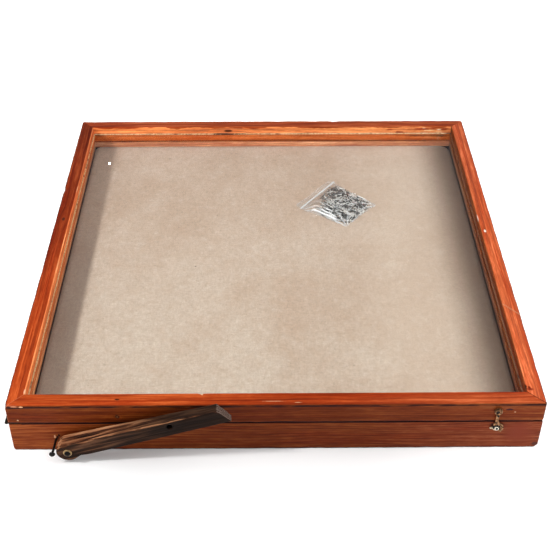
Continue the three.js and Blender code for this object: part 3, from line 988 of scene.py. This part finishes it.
def addLinen():
    wide, deep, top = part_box("linen_lining")[1]
    bm = bmesh.new()
    bmesh.ops.create_grid(bm, x_segments=92, y_segments=96, size=1)
    bmesh.ops.scale(bm, verts=bm.verts, vec=(wide, deep, 1))
    for vert in bm.verts:
        backRight = vert.co.x > 0 and vert.co.y > 0
        roundedIn(vert.co, wide, deep, linen["backRightCorner" if backRight else "corner"])
        vert.co.z = top - 0.0002 + 0.00018 * noise.noise(vert.co * 9)
    rim = [edge for edge in bm.edges if edge.is_boundary]
    turns = [(0.0004, 0.00025), (0.0008, 0.0001), (0.006, 0.00005), (linen["turnDown"] - 0.0072, 0.0)]
    for drop, grow in turns:
        grown = bmesh.ops.extrude_edge_only(bm, edges=rim)["geom"]
        rim = [item for item in grown if isinstance(item, bmesh.types.BMEdge)]
        for vert in {vert for edge in rim for vert in edge.verts}:
            outward = Vector((vert.co.x / wide, vert.co.y / deep, 0))
            vert.co += outward * grow
            vert.co.z -= drop
    bmesh.ops.recalc_face_normals(bm, faces=bm.faces)
    cloth = addPiece("linenSheet", bm, "box", linenCloth(), ["linen_lining"], 60)


def softboard():
    material, place = startMaterial("softboard")
    crumbs = cloud(place, grey(420), 4, 0.65)
    tone = weighted((crumbs, 0.6), (cloud(place, (20, 20, 900), 2), 0.4))
    colour = ramp(tone, [(0.3, (0.14, 0.08, 0.04)), (0.7, (0.42, 0.29, 0.17))])
    return finishMaterial(material, {"Base Color": colour, "Roughness": 0.95}, crumbs, 0.0003)


def basePlywood():
    material, place = startMaterial("basePlywood")
    swirl = cloud(place, (2.2, 9, 9), 2.0)
    bands = put("TexWave", {"Vector": vectors("MULTIPLY", place, (0.22, 1, 1)), "Scale": 13.0,
                            "Distortion": 7.0, "Detail": 2.0, "Detail Scale": 1.2},
                bands_direction="Y").outputs["Fac"]
    pores = cloud(place, (30, 900, 900), 3, 0.6)
    tone = weighted((pores, 0.7), (bands, 0.15), (swirl, 0.25))
    colour = ramp(tone, [(0.2, (0.52, 0.34, 0.185)), (0.55, (0.38, 0.225, 0.11)), (0.9, (0.22, 0.115, 0.05))])
    scuffs = fade(cloud(place, (40, 14, 40), 4, 0.7), 0.6, 0.75, 0.0, 0.5)
    colour = blend(scuffs, colour, (0.10, 0.06, 0.035))
    return finishMaterial(material, {"Base Color": colour, "Roughness": 0.7}, tone)


def blackSteel():
    material, place = startMaterial("blackSteel")
    scale = cloud(place, grey(900), 4, 0.6)
    return finishMaterial(material, {
        "Base Color": ramp(scale, [(0.35, grey(0.004)), (0.7, (0.014, 0.010, 0.008))]),
        "Roughness": fade(scale, 0.3, 0.7, 0.32, 0.6),
        "Metallic": 0.8,
    }, scale)


brads = {
    "each": 8,
    "pitch": 0.072,
    "inset": 0.007,
    "profile": [(0, -0.2), (1.4, -0.2), (1.6, -1.0), (1.6, -2.9), (0, -2.9)],
}


def addBase():
    low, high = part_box("base_board")
    bm = bmesh.new()
    cuboid(bm, low, high)
    bevelAll(bm, 0.0004)
    addPiece("baseBoard", bm, "box", basePlywood(), ["base_board"])
    keepNode("pinning_board", softboard())

    bm = bmesh.new()
    inset = brads["inset"]
    spots = []
    for index in range(brads["each"]):
        across = (index - (brads["each"] - 1) / 2) * brads["pitch"]
        spots += [(across, low.y + inset), (across, high.y - inset)]
        spots += [(low.x + inset, across * 1.04), (high.x - inset, across * 1.04)]
    for x, y in spots:
        head = turnedShape(bm, brads["profile"], 16)
        bmesh.ops.rotate(bm, verts=head, matrix=Matrix.Rotation(math.pi / 2, 3, "X"))
        bmesh.ops.translate(bm, verts=head, vec=(x, y, 0))
    addPiece("baseBrads", bm, "box", woodSteel)


woodSteel = blackSteel()
addLinen()
addBase()
print("linen and boards built")


# Strip hinge

def hingeSteel():
    material, place = startMaterial("hingeSteel")
    tarnish = cloud(place, (90, 30, 90), 4, 0.65)
    rust = fade(cloud(place, grey(140), 4, 0.6), 0.58, 0.7)
    # Near black steel: tarnish, and dark as painted shade, since the barrel is only seen in shade
    colour = ramp(tarnish, [(0.3, (0.012, 0.009, 0.007)), (0.7, (0.060, 0.048, 0.040))])
    return finishMaterial(material, {
        "Base Color": blend(rust, colour, (0.05, 0.018, 0.008)),
        "Roughness": fade(tarnish, 0.3, 0.7, 0.55, 0.35),
        "Metallic": sums("SUBTRACT", 0.95, sums("MULTIPLY", rust, 0.8)),
    }, tarnish)


hinge = {
    "knuckles": 21,
    "gap": 0.0003,
    "barrel": 0.002,
    "bore": 0.0011,
    "leaf": 0.0009,
    "screws": 10,
    "screwIn": (0.0095, 0.0045),
    "screwProfile": [(0, -0.8), (1.2, -0.8), (2.6, 0.0), (2.3, 0.12), (0.8, 0.15), (0, 0.15)],
}


def addHinge():
    steel = hingeSteel()
    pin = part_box("hinge_pin")
    axisX, axisZ = (pin[0].x + pin[1].x) / 2, (pin[0].z + pin[1].z) / 2
    length = pin[1].y - pin[0].y
    pitch = length / hinge["knuckles"]
    width = pitch - hinge["gap"]
    radius, thick = hinge["barrel"], hinge["leaf"]
    leaves = [("box", wallTop, wallTop, 0, 1), ("lid", lidBottom + thick, lidBottom, 1, -1)]
    for body, top, seam, first, upward in leaves:
        node, name = "hinge_leaf_" + body, body + "Leaf"
        bm = bmesh.new()
        cuboid(bm, (-halfWide + 0.0004, -length / 2, top - thick), (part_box(node)[1].x, length / 2, top))
        for index in range(first, hinge["knuckles"], 2):
            start = -length / 2 + index * pitch + hinge["gap"] / 2
            made = rod(bm, (axisX, start + width / 2, axisZ), radius, width, 24)
            caps = {face for vert in made for face in vert.link_faces if len(face.verts) == 24}
            bmesh.ops.inset_individual(bm, faces=list(caps), thickness=radius - hinge["bore"], depth=-0.0006)
            cuboid(bm, (axisX + 0.0012, start, top - thick), (-halfWide + 0.0008, start + width, top))
        bevelAll(bm, 0.00015, 1, 60)
        addPiece(name, bm, body, steel, [node])

        # Slotted screws, sunk so that the leaves close flat
        bm = bmesh.new()
        for index in range(hinge["screws"]):
            y = (index + 0.5) / hinge["screws"] * length - length / 2
            head = turnedShape(bm, hinge["screwProfile"], 20)
            bmesh.ops.rotate(bm, verts=head, matrix=Matrix.Rotation(-upward * math.pi / 2, 3, "X"))
            bmesh.ops.translate(bm, verts=head, vec=(hinge["screwIn"][index % 2] - halfWide, y, seam))
        addPiece(name + "Screws", bm, body, steel)
    keepNode("hinge_pin", steel)


addHinge()
print("hinge built")


# Stay, its screw and the nail

stay = {
    "pivot": (-0.2338, 0.0175),
    "angle": 17.2,
    "standOff": 0.003,
    "thick": 0.017,
    "tip": [(191.5, -8.0), (180.3, 12.0)],
    "top": [(-3, 12.2)],
    "under": [(12, -9.3), (24, -10.4)],
    "boss": 13.2,
    "pivotRadius": 2.6,
    "hole": (123.4, 4.4),
    "holeRadius": 3.25,
    "voxel": 0.0008,
    "groove": 0.0024,
    "tear": 0.0028,
    "tearHeight": 0.0122,
    "tearReach": 0.004,
    "thinning": [(60, 0), (150, 3.8), (180, 4.6), (192, 7.8)],
    "cup": [(2.7, 0), (5.0, 0), (5.05, 0.35), (4.6, 1.05), (4.1, 1.35), (3.7, 1.3), (3.0, 0.75), (2.7, 0.6),
            (2.7, 0)],
    "screwHead": [(2.2, 0.9), (3.55, 1.35), (3.35, 1.9), (2.6, 2.6), (1.5, 3.05), (0, 3.2)],
}
stayPivot = Vector((stay["pivot"][0], -halfDeep - stay["standOff"], stay["pivot"][1]))


def stayThinning(x):
    # How far the back of the arm is planed away, towards the tip
    points = stay["thinning"]
    if x * 1000 <= points[0][0]:
        return 0.0
    for (x0, cut0), (x1, cut1) in zip(points, points[1:]):
        if x * 1000 <= x1:
            return (cut0 + (cut1 - cut0) * (x * 1000 - x0) / (x1 - x0)) / 1000
    return points[-1][1] / 1000


def weatheredWood():
    material, place = startMaterial("weatheredWood")
    moved = vectors("SUBTRACT", place, tuple(stayPivot))
    along = put("Mapping", {"Vector": moved, "Rotation": (0, math.radians(stay["angle"]), 0)}).outputs[0]
    parts = put("SeparateXYZ", {0: along}).outputs
    ridge = put("Attribute", attribute_name="ridge").outputs["Fac"]
    fibres = cloud(along, (30, 700, 700), 4, 0.65)
    bands = cloud(along, (18, 400, 440), 4, 0.68)
    wear = cloud(along, (26, 90, 120), 3, 0.6)
    tone = weighted((fibres, 0.35), (bands, 1.0), (sums("SUBTRACT", ridge, 0.6), 0.75))
    # Faces turned upwards take the lighter ramp: painted light, mixed with patchy wear
    upper = put("SeparateXYZ", {0: put("NewGeometry").outputs["Normal"]}).outputs["Z"]
    dark = ramp(tone, [(0.45, (0.009, 0.0045, 0.003)), (0.68, (0.036, 0.016, 0.009)),
                       (0.92, (0.13, 0.056, 0.028))])
    light = ramp(tone, [(0.46, (0.005, 0.0025, 0.002)), (0.58, (0.040, 0.013, 0.006)),
                        (0.68, (0.145, 0.048, 0.019)), (0.85, (0.42, 0.19, 0.090))])
    wornAndLit = fade(sums("MULTIPLY_ADD", wear, 0.5, upper), 0.35, 0.95)
    colour = blend(wornAndLit, dark, light)
    # Darker towards the tip, but for the rubbed front edge
    front = fade(parts["Y"], 0.0019 - stay["thick"], 0.0008 - stay["thick"])
    rubbed = sums("MULTIPLY", front, fade(parts["Z"], 0.0095, 0.0112))
    darkening = fade(sums("MULTIPLY_ADD", wear, 0.05, parts["X"]), 0.050, 0.150, 0.0, 0.90)
    darkening = sums("MULTIPLY", darkening, sums("SUBTRACT", 1.0, sums("MULTIPLY", rubbed, 0.85)))
    colour = blend(darkening, colour, (0.009, 0.005, 0.0035))
    # Painted shade in and round the peg hole
    holeX, holeZ = metre(*stay["hole"])
    holeAway = vectors("MULTIPLY", vectors("SUBTRACT", along, (holeX, 0, holeZ)), (1, 0, 1))
    colour = blend(fade(vectors("LENGTH", holeAway), 0.0041, 0.0034), colour, (0.003, 0.002, 0.002))

    # End grain at the cut tip
    (lowX, lowZ), (highX, highZ) = [metre(*point) for point in stay["tip"]]
    lean = (lowX - highX) / (highZ - lowZ)
    cutLine = sums("MULTIPLY_ADD", parts["Z"], lean, parts["X"])
    atTip = fade(cutLine, lowX + lean * lowZ - 0.0016, lowX + lean * lowZ - 0.0005)
    rings = put("TexWave", {"Vector": along, "Scale": 150.0, "Distortion": 3.0, "Detail Scale": 2.0},
                bands_direction="Y").outputs["Fac"]
    endTone = weighted((cloud(along, grey(900), 3), 0.6), (rings, 0.4))
    endGrain = ramp(endTone, [(0.40, (0.020, 0.011, 0.008)), (0.62, (0.19, 0.125, 0.10))])
    return finishMaterial(material, {
        "Base Color": blend(atTip, colour, endGrain),
        "Roughness": fade(fibres, 0.3, 0.7, 0.75, 0.55),
        "Specular IOR Level": 0.06,
    }, sums("MULTIPLY_ADD", fibres, 0.6, bands), 0.0006)


def stayPlace(bm):
    bmesh.ops.rotate(bm, verts=bm.verts, matrix=Matrix.Rotation(-math.radians(stay["angle"]), 3, "Y"))
    bmesh.ops.translate(bm, verts=bm.verts, vec=stayPivot)


def addStayArm():
    thick = stay["thick"]
    bm = bmesh.new()
    outline = [*stay["tip"], *stay["top"], *arc(0, 0, stay["boss"], 150, 300, 20), *stay["under"]]
    plateShape(bm, outline, thick)
    bevelAll(bm, 0.0009, 2, 20)
    holes = bmesh.new()
    for (x, z), radius in ((0, 0), stay["pivotRadius"]), (stay["hole"], stay["holeRadius"]):
        rod(holes, (x / 1000, -thick / 2, z / 1000), radius / 1000, 2 * thick, 40)
    bm = cutWith(bm, holes, "stayBlank")
    for vert in bm.verts:
        vert.co.y -= stayThinning(vert.co.x) * max(0.0, 1 + vert.co.y / thick)
    item = newObject("stayBlank", toMesh("stayBlank", bm))
    remesh = item.modifiers.new("remesh", "REMESH")
    remesh.mode = "VOXEL"
    remesh.voxel_size = stay["voxel"]
    bm = bakedShape(item)
    bm.normal_update()
    ridge = bm.verts.layers.float.new("ridge")
    for vert in bm.verts:
        at, normal = vert.co.copy(), vert.normal.copy()
        long = Vector((at.x * 16, at.y * 210, at.z * 210))
        fine = Vector((at.x * 42, at.y * 640, at.z * 640))
        height = 0.62 * (1 - 2 * abs(noise.noise(long))) + 0.38 * noise.noise(fine)
        depth = stay["groove"] * (0.13 + 0.87 * max(0.0, normal.z) ** 2)
        # The front top edge is torn down in places
        torn = max(0.0, 1 - abs(at.y + thick) / stay["tearReach"])
        torn *= max(0.0, 1 - abs(at.z - stay["tearHeight"]) / stay["tearReach"])
        bite = torn * max(0.0, noise.noise(Vector((at.x * 62, 3.1, 7.7))) + 0.15) * stay["tear"]
        vert.co += normal * (height - 0.75) * depth * 0.8
        vert.co += Vector((0, 1, -1)) * bite
        vert[ridge] = min(1.0, max(0.0, 0.5 + 0.45 * height))
    stayPlace(bm)
    addPiece("stayArm", bm, "stay", weatheredWood(), ["stay_arm"], 60)


def agedBrass(name, bright=(0.62, 0.42, 0.20), dull=(0.16, 0.085, 0.035), lean=0.5):
    material, place = startMaterial(name)
    tone = weighted((cloud(place, grey(330), 4, 0.6), 0.6), (cloud(place, grey(1600), 3, 0.6), 0.4))
    return finishMaterial(material, {
        "Base Color": ramp(tone, [(lean - 0.12, dull), (lean + 0.12, bright)]),
        "Roughness": fade(tone, lean - 0.15, lean + 0.15, 0.55, 0.25),
        "Metallic": 1.0,
    }, tone, 0.00012)


def slottedScrew(profile, slotWidth, slotDepth, slotReach, turn):
    head = bmesh.new()
    turnedShape(head, profile, 32)
    blade = bmesh.new()
    far = profile[-1][1] / 1000
    cuboid(blade, (-slotReach, -far - 0.002, -slotWidth / 2), (slotReach, -far + slotDepth, slotWidth / 2))
    bmesh.ops.rotate(blade, verts=blade.verts, matrix=Matrix.Rotation(math.radians(turn), 3, "Y"))
    made = cutWith(head, blade, "screwBlank")
    bmesh.ops.recalc_face_normals(made, faces=made.faces)
    return made


def frontMiddle(node):
    low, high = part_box(node)
    return Vector(((low.x + high.x) / 2, -halfDeep, (low.z + high.z) / 2))


nail = {"shank": 1.35, "head": 3.4, "deep": 10.0, "step": 1.5, "bend": 0.0016}


def addStayMetal():
    brass = agedBrass("stayBrass")
    cup = bmesh.new()
    start = stay["thick"] * 1000 + 0.3
    turnedShape(cup, [(radius, start + reach) for radius, reach in stay["cup"]], 48)
    stayPlace(cup)
    addPiece("stayCup", cup, "stay", brass, ["stay_cup_washer"], 30)

    start += stay["standOff"] * 1000
    profile = [(0, -10), (2.2, -10)] + [(radius, start + reach) for radius, reach in stay["screwHead"]]
    screw = slottedScrew(profile, 0.0008, 0.0012, 0.0042, 35)
    bmesh.ops.translate(screw, verts=screw.verts, vec=(stayPivot.x, -halfDeep, stayPivot.z))
    addPiece("stayScrew", screw, "box", woodSteel, ["stay_screw"], 30)
    keepNode("stay_spacer", brass)

    reach = (-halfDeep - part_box("stop_nail")[0].y) * 1000
    shank = [(nail["shank"], step * nail["step"] - nail["deep"]) for step in range(20)]
    head = [(nail["shank"], reach - 2.6), (nail["head"], reach - 2.0), (nail["head"], reach - 1.3),
            (2.9, reach - 0.5), (1.6, reach - 0.1), (0, reach)]
    bm = bmesh.new()
    turnedShape(bm, [(0, -nail["deep"]), *(point for point in shank if point[1] < reach - 3), *head], 24)
    for vert in bm.verts:
        lean = nail["bend"] * (max(0.0, -vert.co.y) / reach * 1000) ** 2
        dent = 1 + 0.05 * noise.noise(vert.co * 500)
        vert.co.x = vert.co.x * dent - lean * 0.7
        vert.co.z = vert.co.z * dent - lean * 0.2
    bmesh.ops.translate(bm, verts=bm.verts, vec=frontMiddle("stop_nail"))
    addPiece("bentNail", bm, "box", woodSteel, ["stop_nail"], 30)


addStayArm()
addStayMetal()
print("stay and nail built")


# Hook and catch

latch = {
    "standOff": 0.0015,
    "thick": 0.0014,
    "inner": 4.6,
    "outer": 7.8,
    "shadedHole": (0.1, -5.4),
    "drop": 1.8,
}


def addLatch():
    brass = agedBrass("latchBrass", (0.56, 0.29, 0.14), (0.022, 0.009, 0.004), 0.53)
    paleBrass = agedBrass("wingBrass", (0.80, 0.68, 0.46), (0.20, 0.14, 0.08), 0.45)
    pivot, catch = frontMiddle("hook_washer"), frontMiddle("catch_post")
    postX, postZ = (catch.x - pivot.x) * 1000, (catch.z - pivot.z) * 1000
    thick = latch["thick"]

    outline = arc(0, 0, 4.6, -62, 242, 30)
    outline += [(-1.5, -8), (-1.7, -12), (-1.75, -17), (-3.2, -20)]
    outline += arc(postX, postZ, latch["inner"], 140, -68, 20)
    outline += arc(postX, postZ, latch["outer"], -51, 72, 18)
    outline += [(2.2, -15), (1.75, -11.5), (1.7, -8)]
    bm = bmesh.new()
    plateShape(bm, outline, thick)
    holes = bmesh.new()
    for (x, z), radius in ((0, 0), 1.7), (latch["shadedHole"], 1.4):
        rod(holes, (x / 1000, -thick / 2, z / 1000), radius / 1000, 0.01, 24)
    bm = cutWith(bm, holes, "hookBlank")
    bevelAll(bm, 0.0003, 2, 40)
    bmesh.ops.translate(bm, verts=bm.verts, vec=pivot - Vector((0, latch["standOff"], 0)))
    addPiece("hookPlate", bm, "hook", brass, ["hook"], 35)

    # A low domed cap with a sunk screw, and a black plug in the hole below it as painted shade
    start = (latch["standOff"] + thick) * 1000 + 0.2
    profile = [(2.5, 0), (4.4, 0), (4.45, 0.25), (4.2, 0.6), (3.7, 0.95), (3.1, 1.0), (2.55, 0.8), (2.5, 0)]
    bm = bmesh.new()
    turnedShape(bm, [(radius, start + reach) for radius, reach in profile])
    for vert in bm.verts:
        if math.hypot(vert.co.x, vert.co.z) < 0.0028:
            vert.co.x -= 0.0012
    bmesh.ops.translate(bm, verts=bm.verts, vec=pivot)
    addPiece("hookCap", bm, "hook", brass, ["hook_washer"], 30)

    profile = [(0, -10), (1.3, -10), (1.3, start), (3.9, start + 0.02), (3.8, start + 0.2),
               (1.1, start + 0.5), (0, start + 0.55)]
    screw = slottedScrew(profile, 0.0006, 0.0004, 0.0028, 70)
    bmesh.ops.translate(screw, verts=screw.verts, vec=pivot)
    addPiece("hookScrew", screw, "lid", woodSteel, ["hook_screw"], 30)
    keepNode("hook_spacer", brass)

    under = latch["standOff"] * 1000 + 0.1
    profile = [(0, under), (1.3, under), (1.3, under + 2.9), (0, under + 3.0)]
    holeShadeX, holeShadeZ = metre(*latch["shadedHole"])
    shadedHole = pivot + Vector((holeShadeX, 0, holeShadeZ))
    turnedPiece("hookHoleShade", profile, 20, shadedHole, "hook", woodSteel)

    wings = arc(0, 0, 4.1, 20, 160, 16) + arc(-5.8, 0, 1.4, 90, 270, 10)
    wings += arc(0, 0, 4.1, 200, 340, 16) + arc(5.8, 0, 1.4, -90, 90, 10)
    bm = bmesh.new()
    plateShape(bm, wings, 0.0008)
    holes = bmesh.new()
    for x, z, radius in ((0, latch["drop"], 1.8), (-5.4, 0, 0.7), (5.4, 0, 0.7)):
        rod(holes, (x / 1000, 0, z / 1000), radius / 1000, 0.01, 20)
    bm = cutWith(bm, holes, "wingBlank")
    bevelAll(bm, 0.0002, 2, 40)
    bmesh.ops.translate(bm, verts=bm.verts, vec=catch - Vector((0, 0.0003, latch["drop"] / 1000)))
    addPiece("catchWings", bm, "box", paleBrass, ["catch_plate"], 35)

    # A black ring round the post stands for the shade between the post and the hook: painted shade
    profile = [(1.7, 0.9), (4.4, 0.9), (4.4, 1.2), (1.7, 1.2), (1.7, 0.9)]
    turnedPiece("catchShadeRing", profile, 32, catch, "box", woodSteel)

    # The post's head is near white brass: a painted highlight over the brass
    bright = agedBrass("postHighlightBrass", (0.95, 0.88, 0.74), (0.70, 0.58, 0.42), 0.40)
    reach = (latch["standOff"] + thick) * 1000 + 0.4
    profile = [(0, -10), (1.5, -10), (1.5, reach), (2.35, reach + 0.1), (2.5, reach + 0.4),
               (2.35, reach + 0.85), (2.0, reach + 1.0), (1.65, reach + 0.8), (1.6, reach + 0.2),
               (0, reach + 0.2)]
    turnedPiece("catchPost", profile, 40, catch, "box", bright, ["catch_post"])
    # A black disc in the post's hollow: painted shade
    profile = [(0, reach + 0.25), (1.58, reach + 0.25), (1.5, reach + 0.7), (0, reach + 0.75)]
    turnedPiece("postHollowShade", profile, 24, catch, "box", woodSteel)


addLatch()
print("latch built")


# Zip bag and its pins

bag = {
    "zipEnds": [metre(39.5, 115.6), metre(92, 186.2)],
    "farEnds": [metre(103.3, 70.8), metre(151, 125.6)],
    "lipEnds": [metre(32.7, 121.5), metre(83.9, 186.5)],
    "floor": 0.0354,
    "lift": 0.0006,
    "film": 0.0002,
    "seam": 0.0018,
    "grid": 84,
    "rise": 0.0072,
    "fans": [(0.0, 0.0, 0.20, 1.0), (1.0, 0.0, 0.24, 1.3), (1.0, 1.0, 0.20, 1.1), (0.0, 1.0, 0.10, 0.7)],
    "folds": [(0.055, 0.18, 0.80), (0.12, 0.30, 0.72), (0.19, 0.36, 0.60), (0.94, 0.55, 0.85)],
    "pins": 420,
    "pinLength": (0.0100, 0.0140),
    "pinRadius": 0.00055,
    "pinRoom": 0.0022,
    "seed": 7,
}


def bagPoint(across, along):
    # across runs from the zip to the far side, along from the left to the back corner
    return onLine("zipEnds", along).lerp(onLine("farEnds", along), across)


def onLine(ends, share):
    return Vector(bag[ends][0]).lerp(Vector(bag[ends][1]), share)


def bagRise(across, along):
    pillow = math.sin(math.pi * min(1, max(0, across ** 0.85))) * math.sin(math.pi * min(1, max(0, along)))
    return bag["rise"] * max(0.0, pillow) ** 0.55


def creaseAt(across, along):
    total = 0.0
    for cornerAcross, cornerAlong, reach, strength in bag["fans"]:
        away = Vector((across - cornerAcross, along - cornerAlong))
        turn = math.atan2(away.y, away.x)
        drift = 2.5 * noise.noise(Vector((away.length * 6, cornerAcross * 5, cornerAlong * 7)))
        wave = max(0.0, math.sin(turn * 13 + drift)) ** 3
        total += strength * wave * math.exp(-away.length / reach) * min(1.0, away.length / 0.04)
    for line, start, end in bag["folds"]:
        centre = line + 0.03 * noise.noise(Vector((across * 4, line * 40, 2)))
        inside = min(1.0, max(0.0, (across - start) / 0.08)) * min(1.0, max(0.0, (end - across) / 0.08))
        total += inside * math.exp(-((along - centre) / 0.014) ** 2)
    return min(1.0, total)


def plasticFilm(name, haze, creased, gloss):
    material, place = startMaterial(name)
    nodes = material.node_tree.nodes
    nodes.remove(nodes["Principled BSDF"])
    crumple = cloud(place, grey(170), 4, 0.65)
    bumped = put("Bump", {"Strength": 1.0, "Distance": 0.0012, "Height": crumple}).outputs["Normal"]
    clear = put("BsdfTransparent", {"Color": grey(0.97)}).outputs[0]
    milky = put("BsdfDiffuse", {"Color": (0.93, 0.94, 0.95)}).outputs[0]
    shine = put("BsdfGlossy", {"Color": grey(1), "Roughness": 0.15, "Normal": bumped}).outputs[0]
    facing = put("LayerWeight", {"Blend": 0.5, "Normal": bumped}).outputs["Facing"]
    crease = put("Attribute", attribute_name="crease").outputs["Fac"]
    # Along the creases the film is painted milky white: painted highlights on the folds; the edges and the
    # film's own haze add a little milkiness
    hazeAndHighlight = sums("MULTIPLY_ADD", crease, creased, haze)
    film = put("MixShader", {0: hazeAndHighlight, 1: clear, 2: milky}).outputs[0]
    film = put("MixShader", {0: fade(facing, 0.2, 1.0, 0.04, gloss), 1: film, 2: shine}).outputs[0]
    feed(nodes["Material Output"].inputs["Surface"], film)
    return material


def brightSteel():
    material = startMaterial("pinSteel")[0]
    # Each pin takes a random light factor, from black to near white: painted glints and dark reflections on
    # the steel
    lightFactor = put("Attribute", attribute_name="lightFactor").outputs["Fac"]
    colour = ramp(lightFactor, [(0.41, grey(0.006)), (0.52, grey(0.13)), (0.60, (1.0, 0.98, 0.95))])
    return finishMaterial(material, {"Base Color": colour, "Roughness": 0.28, "Metallic": 0.55})


def addBagFilm():
    bm = bmesh.new()
    layer = bm.verts.layers.float.new("crease")
    for upper in (True, False):
        made = bmesh.ops.create_grid(bm, x_segments=bag["grid"], y_segments=bag["grid"], size=0.5)["verts"]
        for vert in made:
            across, along = vert.co.x + 0.5, vert.co.y + 0.5
            border = min(across, along, 1 - across, 1 - along)
            crease = creaseAt(across, along) if upper else 0.0
            ripple = 0.0010 * noise.noise(Vector((across * 8, along * 8, 4.0)))
            height = bag["floor"]
            if upper:
                height += bag["film"] + bagRise(across, along)
                height += (ripple + 0.0013 * crease) * min(1.0, border / 0.04)
            inwards = 0.03 * math.sin(math.pi * along) ** 2 * (0.5 - across)
            sway = 0.028 * math.sin(math.pi * across) ** 2 * (0.5 - along)
            vert.co = (*bagPoint(across + inwards, along + sway), height)
            vert[layer] = crease + 0.5 * math.exp(-border / 0.006) * (1 if upper else 0)
    bmesh.ops.remove_doubles(bm, verts=bm.verts, dist=0.00022)
    bmesh.ops.recalc_face_normals(bm, faces=bm.faces)
    film = plasticFilm("bagFilm", 0.01, 0.95, 0.22)
    addPiece("bagFilm", bm, "box", film, ["zip_bag"], 50)

    # The open lip beyond the zip: two leaves of film
    bm = bmesh.new()
    layer = bm.verts.layers.float.new("crease")
    for lift in (0.0006, 0.0021):
        made = bmesh.ops.create_grid(bm, x_segments=12, y_segments=40, size=0.5)["verts"]
        for vert in made:
            out, along = vert.co.x + 0.5, vert.co.y + 0.5
            curl = lift * out * 1.4 + 0.0006 * out * math.sin(along * 9 + lift * 900)
            height = bag["floor"] + bag["lift"] + max(0, curl)
            vert.co = (*onLine("zipEnds", along).lerp(onLine("lipEnds", along), out), height)
            vert[layer] = math.exp(-(1 - out) / 0.05) * 0.35
    addPiece("bagLip", bm, "box", plasticFilm("lipFilm", 0.03, 0.5, 0.22), (), 50)

    # Zip: two ribs side by side
    bm = bmesh.new()
    start, end = [Vector((*point, bag["floor"] + 2 * bag["lift"])) for point in bag["zipEnds"]]
    direction = (end - start).normalized()
    sideways = direction.cross(Vector((0, 0, 1)))
    for shift in (-0.0007, 0.0007):
        middle = (start + end) / 2 + sideways * shift
        placed = Matrix.Translation(middle) @ direction.to_track_quat("Z", "Y").to_matrix().to_4x4()
        bmesh.ops.create_cone(bm, cap_ends=True, segments=10, radius1=0.0005, radius2=0.0005,
                              depth=(end - start).length, matrix=placed)
    addPiece("bagZip", bm, "box", plasticFilm("zipFilm", 0.5, 0.0, 0.6), (), 50)


def pinMesh():
    bm = bmesh.new()
    radius = bag["pinRadius"]
    profile = [(0, -0.5), (0.35, -0.44), (1, -0.36), (1, 0.46), (1.7, 0.465), (1.7, 0.5), (0, 0.5)]
    verts = [bm.verts.new((wide * radius, 0, far)) for wide, far in profile]
    edges = [bm.edges.new(pair) for pair in zip(verts, verts[1:])]
    bmesh.ops.spin(bm, geom=verts + edges, axis=(0, 0, 1), cent=(0, 0, 0), angle=2 * math.pi,
                   steps=6, use_merge=True)
    bmesh.ops.remove_doubles(bm, verts=bm.verts, dist=1e-7)
    bmesh.ops.recalc_face_normals(bm, faces=bm.faces)
    return toMesh("pin", bm)


def addPins():
    rng = random.Random(bag["seed"])
    pin = pinMesh()
    bm = bmesh.new()
    pinLightFactors = []
    while len(pinLightFactors) < bag["pins"]:
        across, along = rng.uniform(0.1, 0.95), rng.uniform(0.06, 0.94)
        # Few pins lie at the zip's left end, and none where the film lies close
        if across + 0.45 * along < 0.42 and rng.random() < 0.93:
            continue
        room = bagRise(across, along)
        if room < bag["pinRoom"]:
            continue
        middle = bagPoint(across, along)
        length = rng.uniform(*bag["pinLength"])
        turn = rng.uniform(0, math.tau)
        level = rng.random()
        height = bag["floor"] + bag["lift"] + level * max(0.0, room - bag["seam"])
        tilt = rng.gauss(0, 0.09) * (1 - abs(2 * level - 1))
        way = Vector((math.cos(turn), math.sin(turn), tilt)).normalized()
        ends = [middle.to_3d() + way * length * share for share in (-0.5, 0.5)]
        if not all(insideBag(end) for end in ends):
            continue
        turned = way.to_track_quat("Z", "Y").to_matrix().to_4x4()
        matrix = Matrix.Translation(Vector((middle.x, middle.y, height))) @ turned
        matrix = matrix @ Matrix.Diagonal((1, 1, length, 1))
        before = len(bm.verts)
        bm.from_mesh(pin)
        bm.verts.ensure_lookup_table()
        bmesh.ops.transform(bm, matrix=matrix, verts=bm.verts[before:])
        pinLightFactors.append(rng.random())
    layer = bm.verts.layers.float.new("lightFactor")
    each = len(pin.vertices)
    bm.verts.ensure_lookup_table()
    for index, vert in enumerate(bm.verts):
        vert[layer] = pinLightFactors[index // each]
    bpy.data.meshes.remove(pin)
    addPiece("loosePins", bm, "box", brightSteel(), (), 40)


def insideBag(point):
    corners = [("zipEnds", 0), ("farEnds", 0), ("farEnds", 1), ("zipEnds", 1)]
    ring = [Vector(bag[ends][side]) for ends, side in corners]
    for start, end in zip(ring, ring[1:] + ring[:1]):
        edge = end - start
        away = point.to_2d() - start
        if (edge.x * away.y - edge.y * away.x) / edge.length < bag["seam"]:
            return False
    return True


addBagFilm()
addPins()
print("bag and pins built")
